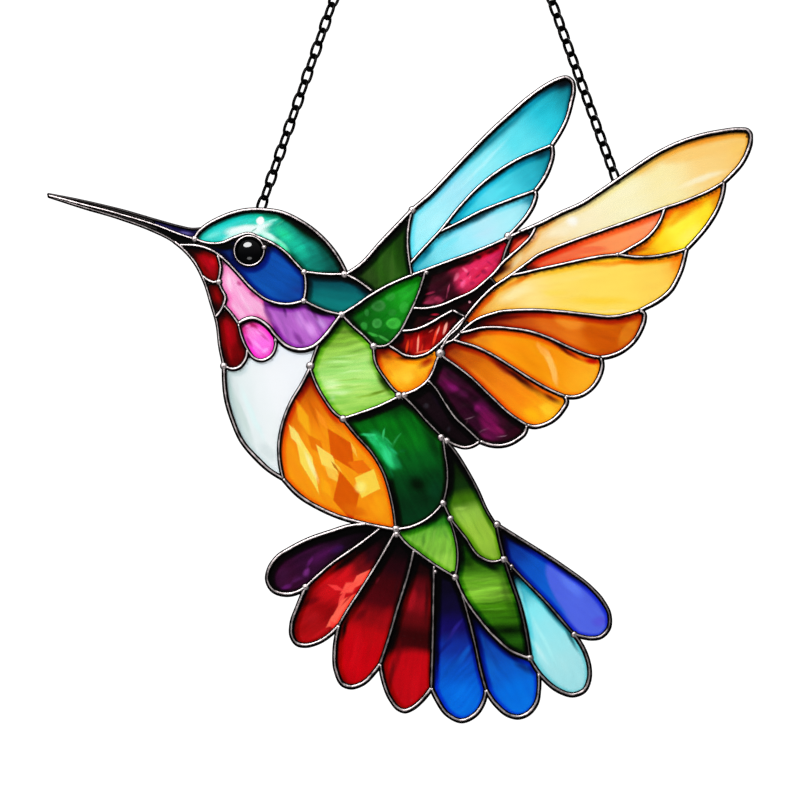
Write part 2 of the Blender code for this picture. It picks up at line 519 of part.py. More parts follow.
def link_mesh(pitch, collection):
    """One chain link along Z, six-sided, of three-sided wire.

    The wire has an edge inward, all round the link, so that it fuses with the next link's where they rest.
    """
    high = (pitch + LINK_WIRE) / 2
    wide = (LINK_WIDTH - LINK_WIRE) / 2
    loop = [(wide, 0), (LINK_CORNER * wide, -high), (-LINK_CORNER * wide, -high)]
    loop += [(-x, -z) for x, z in loop]

    section = bpy.data.curves.new("link_section", "CURVE")
    section.dimensions = "2D"
    wire = section.splines.new("POLY")
    wire.points.add(2)
    for point, (x, y) in zip(wire.points, circle((0, 0), LINK_SECTION, 3, -math.pi / 2)):
        point.co = (x * MM, y * MM, 0, 1)
    wire.use_cyclic_u = True

    curve = bpy.data.curves.new("link", "CURVE")
    curve.dimensions = "3D"
    curve.bevel_mode = "OBJECT"
    curve.bevel_object = new_object("link_section", section, collection)
    spline = curve.splines.new("POLY")
    spline.points.add(len(loop) - 1)
    for point, (x, z) in zip(spline.points, loop):
        point.co = (x * MM, 0, z * MM, 1)
    spline.use_cyclic_u = True
    guide = new_object("link_guide", curve, collection)
    bpy.context.view_layer.update()
    return bpy.data.meshes.new_from_object(guide.evaluated_get(bpy.context.evaluated_depsgraph_get()))


def make_strand(name, collection, helpers, look):
    """One strand of chain, from behind the panel up to the ring, its links turned by turns."""
    (x, z), turn, twist = STRANDS[name]
    low = hung(x, z, STRAND_BEHIND)
    ring = hung(*RING_CENTRE)
    rise = (ring - low).normalized()
    run = (ring - low).length / MM - TOP_LINK
    count = round(run / LINK_PITCH)
    pitch = run / count

    mesh = link_mesh(pitch, helpers)
    upright = Vector((0, 0, 1)).rotation_difference(rise).to_matrix().to_4x4()
    links = []
    for i in range(count + 1):
        twisted = twist * max(0.0, i / count - TWIST_START) / (1 - TWIST_START)
        turned = Matrix.Rotation(math.radians(turn + 90 * i + twisted), 4, "Z")
        link = new_object(f"{name}_link_{i}", mesh.copy(), helpers)
        link.matrix_world = Matrix.Translation(low + rise * i * pitch * MM) @ upright @ turned
        links.append(link)
    strand = links[0]
    helpers.objects.unlink(strand)
    collection.objects.link(strand)
    strand.name = strand.data.name = name
    strand.data.materials.clear()
    strand.data.materials.append(look)
    others = bpy.data.collections.new(f"{name}_links")
    helpers.children.link(others)
    for link in links[1:]:
        helpers.objects.unlink(link)
        others.objects.link(link)
        link.hide_render = True
        link.display_type = "WIRE"
    union = strand.modifiers.new("links", "BOOLEAN")
    union.operation = "UNION"
    union.operand_type = "COLLECTION"
    union.collection = others
    union.solver = "EXACT"


def clear_scene():
    for old in list(bpy.data.objects):
        bpy.data.objects.remove(old)


def main():
    clear_scene()
    ornament = bpy.data.collections.new("hummingbird_ornament")
    helpers = bpy.data.collections.new("helpers")
    for collection in (ornament, helpers):
        bpy.context.scene.collection.children.link(collection)
    helpers.hide_render = True

    panel = new_object("panel", None, ornament)
    panel.location = hung(0, 0)
    panel.rotation_euler = (math.pi / 2, 0, 0)

    pane_outlines = find_panes()
    make_leading(ornament, panel, pane_outlines)
    make_panes(ornament, panel, pane_outlines)
    make_eye(ornament, panel)
    make_ring(ornament)
    black_steel = material("chain_steel", "#1c1b1d", 0.4, metallic=0.9)
    for name in STRANDS:
        make_strand(name, ornament, helpers, black_steel)


main()
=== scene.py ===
"""The looks of a stained-glass hummingbird that hangs on a chain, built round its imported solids.

The panel is drawn on one full-size sheet, in millimetres: x runs right from the bill's tip and z runs up
from the lowest tail feather. The front of the panel faces -Y. The sections follow the order in which the
ornament is put together: the room, the seams, the glass, the eye, the ring and the chain.
"""

import bpy
import numpy as np
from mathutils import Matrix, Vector


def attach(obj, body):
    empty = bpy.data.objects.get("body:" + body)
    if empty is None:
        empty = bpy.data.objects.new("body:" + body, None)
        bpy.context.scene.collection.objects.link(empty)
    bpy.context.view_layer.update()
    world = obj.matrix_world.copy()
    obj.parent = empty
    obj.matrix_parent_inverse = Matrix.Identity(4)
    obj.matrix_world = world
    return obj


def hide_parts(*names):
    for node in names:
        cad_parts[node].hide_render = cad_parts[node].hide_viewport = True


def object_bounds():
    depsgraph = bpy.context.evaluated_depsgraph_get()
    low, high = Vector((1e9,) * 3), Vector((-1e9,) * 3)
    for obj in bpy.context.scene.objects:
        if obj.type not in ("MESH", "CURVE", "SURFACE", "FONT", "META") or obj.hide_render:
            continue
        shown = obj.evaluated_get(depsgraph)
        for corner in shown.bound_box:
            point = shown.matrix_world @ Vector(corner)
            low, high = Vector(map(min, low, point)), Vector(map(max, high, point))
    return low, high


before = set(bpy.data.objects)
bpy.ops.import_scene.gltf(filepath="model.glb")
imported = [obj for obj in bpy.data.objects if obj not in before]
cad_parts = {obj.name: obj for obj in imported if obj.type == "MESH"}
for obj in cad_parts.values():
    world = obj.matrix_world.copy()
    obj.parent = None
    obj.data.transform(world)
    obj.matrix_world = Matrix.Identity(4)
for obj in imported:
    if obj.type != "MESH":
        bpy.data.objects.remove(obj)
CAD_BOX = [list(corner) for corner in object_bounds()]

# ------------------------------------------------------------------------------------------------------
# The room: a plain pale floor well below the ornament, white all round, and four broad soft lamps. The
# key above the front gives the metal its bright edges, two more light the foot and the far side, and the
# last lights the floor alone. The room is measured in metres.
# ------------------------------------------------------------------------------------------------------

MM = 0.001
LENS_WIDTH = 36                     # of the camera's sensor, in mm
VIEW_CENTRE = Vector((-0.0174, -0.002, -0.30735))   # in the front of the panel
VIEW_WIDTH = 0.34                   # of what the camera takes in there
VIEW_DISTANCE = 1.2
EXPOSURE = 0.2
WALL_LIGHT_LOW = 0.02               # how strong the light from the white walls is, low down
WALL_LIGHT_HIGH = 0.15              # and overhead
WALL_LOW = -0.2                     # the slope of a look down at which it is weakest
FLOOR_MIDDLE = Vector((0, 0, -1.6))
FLOOR_RADIUS = 4.0
FLOOR_SIDES = 96
FLOOR_GRIT = 7.5                    # blotches of its paint to the metre

# Each lamp: its place from what it looks at, its width and height, and its watts.
BIRD_LAMPS = {
    "key_softbox": ((-0.36, -1.5, 0.87), 0.95, 0.72, 22),
    "foot_softbox": ((-0.12, -1.4, -0.62), 0.5, 0.4, 0.9),
    "rear_softbox": ((0.7, 1.3, 1.3), 1.0, 1.0, 14),
}
FLOOR_LAMP = ((0, 0, 0.6), 10.0, 10.0, 150)


def linear(hex_colour):
    """The linear values of an sRGB colour written as #rrggbb, with full alpha."""
    values = np.array([int(hex_colour[i : i + 2], 16) / 255 for i in (1, 3, 5)])
    values = np.where(values <= 0.04045, values / 12.92, ((values + 0.055) / 1.055) ** 2.4)
    return (*values.tolist(), 1.0)


def add(tree, kind, links=None, inputs=None, **settings):
    """Adds a node: settings are its own, inputs are {name: value}, and links are {name: output}."""
    node = tree.nodes.new(kind)
    for key, value in settings.items():
        setattr(node, key, value)
    for key, value in (inputs or {}).items():
        node.inputs[key].default_value = value
    for key, output in (links or {}).items():
        tree.links.new(output, node.inputs[key])
    return node


def new_material(name):
    """A material, its node tree and its Principled shader."""
    made = bpy.data.materials.new(name)
    made.use_nodes = True
    return made, made.node_tree, made.node_tree.nodes["Principled BSDF"]


def new_piece(name, points, faces, material, **attributes):
    """A smooth-shaded mesh of points in metres.

    faces are arrays that hold a row of corners for each face, and attributes a number for each point.
    """
    mesh = bpy.data.meshes.new(name)
    mesh.vertices.add(len(points))
    mesh.vertices.foreach_set("co", np.ravel(points).astype(np.float32))
    sizes = np.concatenate([np.full(len(grid), grid.shape[1]) for grid in faces])
    mesh.loops.add(int(sizes.sum()))
    corners = np.concatenate([grid.ravel() for grid in faces])
    mesh.loops.foreach_set("vertex_index", corners.astype(np.int32))
    mesh.polygons.add(len(sizes))
    mesh.polygons.foreach_set("loop_start", (np.cumsum(sizes) - sizes).astype(np.int32))
    for key, values in attributes.items():
        mesh.attributes.new(key, "FLOAT", "POINT").data.foreach_set("value", values.astype(np.float32))
    mesh.update(calc_edges=True)
    mesh.shade_smooth()
    mesh.materials.append(material)
    piece = bpy.data.objects.new(name, mesh)
    bpy.context.scene.collection.objects.link(piece)
    return piece


def circle(steps, start=0.0):
    """Points on a circle of radius one round the origin, in equal steps anticlockwise from an angle."""
    turns = start + np.linspace(0, 2 * np.pi, steps + 1)[:-1]
    return np.stack([np.cos(turns), np.sin(turns)], axis=1)


def aimed(name, data, target, place):
    """An object at a place measured from its target, turned so that its -Z looks at the target."""
    made = bpy.data.objects.new(name, data)
    made.location = target + Vector(place)
    made.rotation_euler = Vector(place).to_track_quat("Z", "Y").to_euler()
    bpy.context.scene.collection.objects.link(made)
    return made


def softbox(name, target, place, width, height, watts):
    """An oval lamp that looks at the target."""
    lamp = bpy.data.lights.new(name, "AREA")
    lamp.shape = "ELLIPSE"
    lamp.size = width
    lamp.size_y = height
    lamp.energy = watts
    aimed(name, lamp, target, place)


lens = bpy.data.cameras.new("camera")
lens.sensor_width = LENS_WIDTH
lens.lens = LENS_WIDTH * VIEW_DISTANCE / VIEW_WIDTH
bpy.context.scene.camera = aimed("camera", lens, VIEW_CENTRE, (0, -VIEW_DISTANCE, 0))
bpy.context.scene.view_settings.view_transform = "Standard"
bpy.context.scene.view_settings.exposure = EXPOSURE

for name, lamp in BIRD_LAMPS.items():
    softbox(name, VIEW_CENTRE, *lamp)
softbox("floor_softbox", FLOOR_MIDDLE, *FLOOR_LAMP)

# Seen straight or through the glass, the walls are white. What they throw on the ornament is dim, so that
# black solder and wire stay black.
world = bpy.data.worlds.new("white_room")
bpy.context.scene.world = world
world.use_nodes = True
room = world.node_tree
direction = add(room, "ShaderNodeTexCoord").outputs["Generated"]
height = add(room, "ShaderNodeSeparateXYZ", {"Vector": direction}).outputs["Z"]
dim = add(room, "ShaderNodeMapRange", {"Value": height}, {
    "From Min": WALL_LOW,
    "To Min": WALL_LIGHT_LOW,
    "To Max": WALL_LIGHT_HIGH,
}).outputs[0]
ray = add(room, "ShaderNodeLightPath").outputs
seen = add(room, "ShaderNodeMath", {0: ray["Is Camera Ray"], 1: ray["Is Transmission Ray"]},
           operation="MAXIMUM").outputs[0]
strength = add(room, "ShaderNodeMix", {"Factor": seen, "A": dim}, {"B": 1.0}).outputs[0]
background = room.nodes["Background"]
background.inputs["Color"].default_value = (1, 1, 1, 1)
room.links.new(strength, background.inputs["Strength"])

pale, tree, shader = new_material("matt_white_floor_paint")
place = add(tree, "ShaderNodeTexCoord").outputs["Object"]
grit = add(tree, "ShaderNodeTexNoise", {"Vector": place}, {"Scale": FLOOR_GRIT, "Detail": 3.0}).outputs[0]
tone = add(tree, "ShaderNodeMix", {"Factor": grit}, {"A": linear("#f4f4f2"), "B": linear("#fbfbfa")},
           data_type="RGBA")
tree.links.new(tone.outputs["Result"], shader.inputs["Base Color"])
shader.inputs["Roughness"].default_value = 0.9
floor_points = np.pad(FLOOR_RADIUS * circle(FLOOR_SIDES), ((0, 0), (0, 1))) + np.array(FLOOR_MIDDLE)
floor = new_piece("floor", floor_points, [np.arange(FLOOR_SIDES)[None]], pale)
# The floor is lit to be looked at, and is kept out of what the metal and the glass mirror.
floor.visible_diffuse = False
floor.visible_glossy = False

# ------------------------------------------------------------------------------------------------------
# The seams: copper foil wrapped round every pane and joined with a bead of tin-lead solder on both faces.
# A black patina darkens the bead, and handling has rubbed its crest bright; that bright band is set off the
# crest toward the light, a painted highlight. Drops of solder lie where seams meet. From here on, sizes are
# in millimetres.
# ------------------------------------------------------------------------------------------------------

SHEET_CORNER = np.array([-167.4, -444.2])   # of the sheet, in the frame
BILL = 1.3                          # the width of the bill's seams,
THROAT = 1.7                        # of the one down the throat,
INNER = 1.9                         # of those between panes,
EDGE = 2.3                          # and of those round the outline
EYE_CENTRE = (85.9, 200.2)
EYE_RADIUS = 6.3                    # to the middle of the seam round it
EYE_SEAM = 1.4
EYE_SEAM_RINGS = 48
GLASS_HALF = 1.5                    # half the thickness of the glass, where a seam's bead starts
BEAD_RISE = 0.58                    # from there to the crest of a bead on the outline
DROP_RISE = 0.7
FILL_RISE = 0.3
SPAN_PARTS = 16                     # points worked out on each span of a curve
SEAM_STEP = 0.8                     # between a bead's rings
BEAD_POINTS = 7                     # of its section, over each face
BEAD_OVER = 0.4                     # how far a bead runs on past its end
END_ROUND = 2.2                     # a bead's end is rounded off over its width divided by this,
END_CUT = 0.97                      # and cut flat at this share of the quarter circle
BEAD_WANDER = 0.06                  # of a hand-run bead's width, as a share, and twice that of its height
WANDER_LENGTH = 9.0                 # over which they change
HEIGHT_LAG = 3                      # how many rings the height's change follows the width's by
DROP_RINGS = 12
DROP_SIDES = 16
HIGHLIGHT_SIDE = np.array([-0.1, 0.33])      # toward the light: which side of its crest a bead's bright band lies, a painted highlight, and how far
PATCHES_PER_MM = 0.35               # of the patina
PATCH_BITE = 0.22                   # how far they eat into the rubbed crest
RUBBED = (0.95, 1.1)                # where across a bead the rub starts, and where it is full
RIPPLES_PER_MM = 0.9                # in the metal, which break up its gloss

# Each seam: its width and the points that its curve runs through, on the sheet.
SEAMS = {
    # The bill and the head.
    "bill_ridge": (BILL, [(0.2, 224.3), (14, 221.7), (31, 217.7), (48, 212.8), (56.5, 210.5),
        (61.6, 209.5), (66.3, 209.9)]),
    "bill_gape": (1.5, [(0.4, 223.8), (14, 220.2), (31, 215.7), (48, 210.4), (56.5, 207.1),
        (62.7, 205.1)]),
    "bill_keel": (BILL, [(0.4, 223.5), (14, 219.1), (31, 214), (43.8, 209.3), (52.3, 205.1),
        (57.8, 201)]),
    "crown_rim": (EDGE, [(62.7, 205.3), (64.2, 207.8), (67.1, 210.4), (74.4, 214.4), (83.3, 217.2),
        (91.4, 217.6), (99, 216.6), (107.5, 212.8), (116.5, 206.1), (123, 198.3), (127.2, 190.6)]),
    "brow": (INNER, [(62.7, 205.3), (66.3, 203.8), (70.1, 203.2), (73.7, 203.4), (80.3, 206),
        (85.8, 207.5), (90.5, 205.7), (95.6, 203.4), (101.6, 199.3), (106.5, 194), (109.2, 191.2)]),
    "cheek_back": (INNER, [(109.2, 191.2), (109.9, 187.4), (109.9, 183.2), (109.1, 178.9)]),
    "nape_top": (INNER, [(109.2, 191.2), (118.1, 190.2), (126.6, 190.2)]),
    "nape_wing": (INNER, [(126.6, 190.2), (130.9, 188.1), (138.1, 183)]),
    "cheek_low": (INNER, [(56.1, 202.5), (65, 202), (70.5, 200), (75.6, 196.2), (81.2, 190.4),
        (87.1, 184), (93.9, 179.1), (102, 177.4), (109.1, 178.9)]),
    "nape_low": (INNER, [(109.1, 178.9), (113.9, 176.5), (118.1, 174.7), (125.2, 173)]),
    # The throat, the gorget and the body.
    "throat_front": (THROAT, [(54, 204.2), (57.8, 201), (62.9, 195.1), (67.1, 186.6), (69.6, 178.5),
        (72.1, 170), (73.5, 159.4), (75.2, 151.3)]),
    "breast_front": (EDGE, [(75.2, 151.3), (76.3, 136.8), (78.8, 128.3), (82.5, 119.8), (89.7, 111.3),
        (94.3, 107.1), (100.3, 103.3)]),
    "belly_low": (EDGE, [(100.3, 103.3), (107.5, 95.9), (116, 90.7), (124.5, 87), (133, 84.6),
        (141.5, 82.7), (148.3, 81.4)]),
    "red_one_back": (INNER, [(72.4, 198.5), (73.7, 192.7), (72.7, 187.4)]),
    "red_one_low": (INNER, [(72.7, 187.4), (71.3, 186.7), (69.1, 187.3), (66.1, 189.5)]),
    "red_two_back": (INNER, [(72.9, 186.8), (74, 184), (75.7, 180.6), (74.5, 175.9), (71.4, 171.7)]),
    "red_three_top": (INNER, [(75, 177), (77.6, 174.2), (81.3, 169.2)]),
    "gorget_low": (2.6, [(81.3, 169), (84.4, 170.9), (86.9, 171.5), (89.3, 171), (93.4, 168.4),
        (97.55, 163.55), (101.8, 159.65), (107.2, 158), (112.2, 158.9), (118.4, 164.1), (122.3, 169.2),
        (125.2, 173)]),
    "lobe": (INNER, [(81.3, 169.2), (82.5, 164.2), (85, 158.4), (88.4, 154.3), (91, 153.6),
        (95.2, 155.5), (97.2, 160.2), (96.5, 164.9)]),
    "red_three_low": (INNER, [(75.2, 151.3), (79, 149.9), (81.6, 150.6), (83.5, 152.6), (84.7, 155),
        (85, 158.1)]),
    "breast_top": (INNER, [(116.2, 162.3), (114.2, 157.4), (111.8, 150.4)]),
    "breast_belly": (INNER, [(111.8, 150.4), (108.4, 143.7), (103.5, 135.4), (100.1, 126.6),
        (98.6, 117.7), (98.8, 111.3), (100.3, 103.3)]),
    "belly_shoulder": (INNER, [(111.8, 150.4), (114, 144.2), (118.1, 136.8), (123, 130.6),
        (125.8, 128.8)]),
    "belly_back": (INNER, [(125.8, 128.8), (131, 122.3), (138.3, 114), (143.4, 105), (145.8, 97.2),
        (147.3, 90.1), (148.3, 81.6)]),
    "shoulder_low": (INNER, [(125.8, 128.8), (133, 131.1), (141.5, 134.2), (147.9, 137.3),
        (150.7, 138.8)]),
    "shoulder_back": (INNER, [(138.8, 159.6), (139.5, 153), (143.7, 145.8), (148.6, 140.1),
        (150.7, 138.8)]),
    "scapular_low": (INNER, [(125.2, 173), (130, 168.1), (135.4, 163.3), (138.8, 159.6)]),
    "scapular_back": (INNER, [(161.1, 192.3), (158.3, 183), (153.9, 172.8), (148.1, 163),
        (144.2, 159.8), (141.9, 159.4), (138.8, 159.6)]),
    # The near wing.
    "wing_top": (INNER, [(125.2, 173), (130.8, 176.4), (137.4, 181), (145.6, 185.7), (154.4, 189.5),
        (162.8, 192.7), (171.5, 195.9), (179.8, 198.9), (188.3, 202.3), (195.5, 205.6), (201.2, 208.2)]),
    "wing_edge": (EDGE, [(201.2, 208.2), (209.5, 211.7), (218, 216), (228, 220.6), (235, 225.2),
        (247.8, 234), (260.5, 242.2), (269, 246.2), (277.5, 249), (286, 250.8), (294.9, 251.7),
        (297.6, 251.4), (299, 249.7), (299.1, 246.9), (298.3, 243.7), (295.5, 237.8), (290.4, 231.9),
        (287.7, 229.3)]),
    "cream_low": (INNER, [(287.7, 229.3), (281.9, 225.9), (273.4, 222.1), (260.5, 217.6),
        (247.8, 212.9), (235, 208.4), (222.1, 203.8), (213.9, 200.6), (209.5, 198.7), (203.2, 194.2),
        (196.8, 189.5), (188.4, 183.6), (184, 179.3), (177.9, 171.9), (174.2, 166.7), (171.3, 164.3),
        (169, 161.1), (167.2, 156.8)]),
    "yellow_edge": (EDGE, [(287.7, 229.3), (287.5, 226.2), (285.5, 219.2), (281.5, 212.1),
        (276.3, 205.6), (271.8, 200.9)]),
    "yellow_low": (INNER, [(271.8, 200.9), (266.7, 199.4), (259.5, 197.9), (251.2, 197.5),
        (242.9, 198.5)]),
    "coral_edge": (INNER, [(262.6, 218.2), (260.3, 212.2), (255.4, 206), (248.6, 201.6),
        (242.9, 198.5)]),
    "coral_low": (INNER, [(242.9, 198.5), (235, 197.7), (226.5, 196.1), (218, 194.2), (209.5, 192.4),
        (201, 190.4), (197.6, 189.8)]),
    "amber_edge": (EDGE, [(271.8, 200.9), (271, 197.2), (269.6, 192.1), (267.7, 187.8), (265.4, 183.8),
        (260.1, 179.1), (255.8, 176.7), (252, 174.8)]),
    "amber_low": (INNER, [(252, 174.8), (247.8, 173.5), (243.5, 172.5), (239.3, 172.1), (230.8, 172.9),
        (218, 174.3), (205.3, 175), (198.9, 174.8), (192.5, 174.2), (188.2, 173), (184.6, 171.8),
        (181.7, 170.3), (178.9, 168.2), (175.5, 165.1)]),
    "rust_edge": (EDGE, [(252, 174.8), (253.9, 173.2), (253.9, 171.1), (252.4, 166.6), (250.1, 162.5),
        (247.1, 159.4), (243.5, 157), (239.3, 155.4), (235.4, 154.8)]),
    "rust_low": (INNER, [(235.4, 154.8), (230.8, 155.6), (222.3, 158.9), (213.8, 162.9),
        (205.3, 165.8), (196.8, 167.1), (190.4, 167.6), (184, 167.2), (179.8, 166.1), (175.5, 165.1)]),
    "orange_edge": (EDGE, [(235.4, 154.8), (236, 151.7), (235.1, 147.5), (231.7, 142), (229.3, 140),
        (226.4, 138.5), (223, 138), (220.2, 138.3)]),
    "orange_low": (INNER, [(220.2, 138.3), (213.8, 141), (205.3, 145.8), (196.8, 151.3),
        (188.3, 156.4), (181.9, 159.4), (175.5, 161.3), (172.7, 162.2)]),
    "tangerine_edge": (EDGE, [(220.2, 138.3), (220.9, 136.2), (219.2, 132.6), (215.3, 128.4),
        (210.8, 126.1), (207.4, 125.4), (204, 126)]),
    "tangerine_low": (INNER, [(204, 126), (196.8, 130.7), (188.3, 138.5), (179.8, 146.6),
        (173.4, 151.5), (168.7, 154.8), (167.2, 156.2)]),
    "feather_roots": (INNER, [(167.2, 156.8), (167.8, 159.2), (169.4, 160.7), (172.7, 162.2),
        (175.5, 165.1)]),
    "plum_edge": (EDGE, [(204, 126), (202.9, 122.5), (200.3, 120.2), (195.1, 117.7), (189.8, 117.4),
        (184, 119.2)]),
    "plum_back": (INNER, [(161.9, 145.1), (164.9, 142), (169.3, 135.2), (173.7, 128.9), (177.9, 125),
        (184, 119.2)]),
    "violet_low": (INNER, [(168.7, 120.5), (173.1, 117.8), (177.9, 116.6), (180.6, 117.1),
        (184, 119.2)]),
    "violet_back": (INNER, [(150.7, 138.8), (155.7, 134.2), (161.5, 127.6), (168.7, 120.5)]),
    "amber_drop": (INNER, [(167.2, 156.6), (165.7, 153.4), (164.2, 149.1), (161.9, 145.1),
        (156.4, 140.8), (150.7, 138.8)]),
    "ruby_three_low": (INNER, [(144.9, 160), (148.1, 158.2), (152, 155.8), (156, 155.1),
        (160.8, 156.1), (165.7, 159.5), (171.3, 165.3), (175.1, 169.4), (177.7, 171.9)]),
    "ruby_two_low": (INNER, [(150.9, 166), (156.8, 166.7), (162.8, 169.2), (167, 171.7),
        (172.6, 174.8)]),
    "ruby_notch": (INNER, [(172.6, 174.8), (174.7, 173.6), (177.7, 172.1)]),
    "ruby_one_low": (INNER, [(155.5, 175.8), (160.8, 175.6), (167, 176.8), (174, 179.7),
        (181.4, 183.2), (186.2, 187.1), (190, 190.6), (193.8, 195.1), (197.6, 198.5), (201.9, 202.3),
        (205.3, 205.8), (207.8, 210.4)]),
    "garnet_back": (INNER, [(197.6, 206.5), (196.8, 204.4), (195.3, 200.8), (193.7, 195.9)]),
    "ruby_two_top": (INNER, [(188.1, 188.7), (189.5, 187.4), (190.8, 185.8)]),
    # The far wing, and the pane at the near wing's root.
    "ice_edge": (EDGE, [(155.3, 217.6), (163, 224.2), (171.5, 233.1), (180, 242), (188.5, 250.6),
        (197, 258.4), (205.5, 265.8), (213.9, 271.4), (218, 273.3), (220.9, 273.8), (223.2, 272.2),
        (223.8, 269), (222.8, 263.3), (220.6, 255.6), (216.8, 248.4), (214.5, 245)]),
    "ice_low": (INNER, [(214.5, 245), (209.5, 243), (201, 239.4), (192.5, 234.4), (184, 227.8),
        (175.5, 219), (167, 208.5), (159.8, 200.8), (154.3, 194.7)]),
    "aqua_edge": (EDGE, [(214.5, 245), (214.9, 242.2), (213.1, 234.6), (209.5, 228.2), (207.4, 225.7)]),
    "aqua_low": (INNER, [(207.4, 225.7), (201, 223.4), (192.5, 220.2), (184, 216.8), (175.5, 212.3),
        (167, 208.2)]),
    "sky_edge": (EDGE, [(207.4, 225.7), (207.8, 223.9), (207.2, 221.2), (204.4, 215.7), (199.8, 210.2),
        (195.9, 206.3)]),
    "forest_edge": (EDGE, [(126.6, 189.8), (133, 194), (141.5, 203.2), (150, 212), (155.3, 217.6)]),
    "forest_back": (INNER, [(155.3, 217.6), (153.9, 211.8), (153.3, 202.6), (153.7, 198), (154.9, 190)]),
    # Between the body and the tail.
    "back_edge": (INNER, [(168.3, 120.5), (169.3, 113.5), (170.2, 107.1), (170, 99.9), (168.4, 92.9)]),
    "rump_edge": (INNER, [(168.7, 120.3), (172.5, 115.8), (178, 107.5), (182.7, 98.9), (187.1, 89.3),
        (190.8, 83.5)]),
    "rump_side": (EDGE, [(191.2, 83.7), (192.5, 76.9), (194.4, 69.1)]),
    "rump_low": (INNER, [(194.4, 69.1), (189.3, 67.9), (184, 70), (177.7, 78.3), (171.5, 86.5),
        (168.4, 92.9)]),
    "back_low": (INNER, [(148.3, 81.6), (155.7, 83.1), (162.8, 87), (168.4, 92.9)]),
    "leaf_back": (INNER, [(171.1, 86.3), (173.2, 80.2), (174.6, 72.4), (174.4, 65.9), (173.4, 61.4)]),
    "leaf_low": (INNER, [(148.3, 81), (153, 75.3), (158.5, 71.1), (166, 65.8), (173.4, 61.4)]),
    "covert_front": (EDGE, [(173.4, 61.4), (177.1, 53.1), (182.9, 44.5), (189.4, 36.8), (198.1, 29.5),
        (205.3, 26.8)]),
    "covert_back": (EDGE, [(194.4, 69.1), (197.5, 59.6), (200.8, 49.9), (203.2, 40.1), (205.3, 26.8)]),
    # The tail.
    "tail_cyan": (EDGE, [(205.3, 26.8), (207.3, 23.3), (211.1, 18.4), (218.2, 12.9), (223.6, 11.4),
        (228.2, 13.2), (230.5, 18.4), (230.6, 22.2), (229, 28.7), (224.1, 37.1)]),
    "tail_seven_top": (INNER, [(194.4, 69.1), (201.9, 61.2), (212.8, 50.1), (221.4, 40.1),
        (224.1, 37.1)]),
    "tail_indigo": (2.1, [(191.2, 83.7), (199.9, 78.3), (209.5, 72.3), (220.5, 65.1), (231.3, 56.8),
        (236.1, 51.3), (239, 45.6), (238.6, 39.5), (235, 36), (231.7, 35.5), (228.4, 35.9),
        (224.1, 37.1)]),
    "tail_purple": (EDGE, [(135.6, 83.9), (128.2, 83), (120.3, 80.5), (111.8, 77.6), (103.3, 73.4),
        (98, 70), (94.4, 64.8), (93.6, 60.4), (95.8, 56.1), (100.9, 54.2), (107.5, 55.6),
        (110.1, 57.4)]),
    "tail_two_top": (INNER, [(141.5, 82), (133.1, 75.5), (120.3, 66.5), (110.1, 57.4)]),
    "tail_scarlet": (EDGE, [(110.1, 57.4), (106.8, 49.4), (104, 41.2), (104.1, 36.5), (106.5, 33.1),
        (109.2, 32.5), (114.6, 33.6), (120.3, 37.1), (124.1, 41)]),
    "tail_three_top": (INNER, [(147.9, 80.3), (142.9, 71.4), (133.1, 55.5), (127.8, 47.4), (124.1, 41)]),
    "tail_crimson": (EDGE, [(124.1, 41), (122.4, 30.6), (122.8, 22.1), (126.3, 15.6), (129.2, 14.8),
        (133.1, 15.8), (140, 22.3), (141.7, 24.6)]),
    "tail_four_top": (EDGE, [(156.1, 73.1), (153.3, 61.6), (149, 47.9), (144.8, 33.7), (141.7, 24.6)]),
    "tail_ruby": (EDGE, [(141.7, 24.6), (143.2, 16.7), (146.1, 9.6), (149.7, 5.4), (152, 4.6),
        (154.5, 5.4), (158.9, 8.8), (163.4, 14.4)]),
    "tail_five_top": (EDGE, [(164.5, 66.3), (164.3, 52.7), (163.9, 30.6), (163.4, 14.4)]),
    "tail_navy": (EDGE, [(163.4, 14.4), (165.9, 9.2), (170.3, 3.1), (176.2, 0.4), (182, 3.1),
        (185.6, 8.7), (186.6, 13.6)]),
    "tail_six_top": (EDGE, [(176, 55.2), (178.8, 45.6), (181.8, 33.6), (184.5, 21.2), (186.6, 13.6)]),
    "tail_blue": (EDGE, [(186.6, 13.6), (191, 7.2), (196.5, 2.8), (200.3, 2), (203.6, 3), (208, 8.1),
        (209, 13.6), (209, 20.6)]),
}

# Seams whose crest was rubbed less than the rest, and the share of the patina that came off it.
WORN = {
    "bill_ridge": 0.05, "bill_keel": 0.25, "crown_rim": 0.85, "belly_back": 0.5, "back_edge": 0.5,
    "rump_edge": 0.35, "rump_side": 0.25, "rump_low": 0.8, "leaf_back": 0.55, "covert_back": 0.2,
    "tail_four_top": 0.5, "tail_five_top": 0.5, "tail_six_top": 0.5, "tail_seven_top": 0.55,
    "tail_indigo": 0.6, "tail_cyan": 0.8, "nape_low": 0.6, "scapular_back": 0.5, "violet_back": 0.6,
    "plum_back": 0.85, "garnet_back": 0.3, "ruby_two_top": 0.1,
}

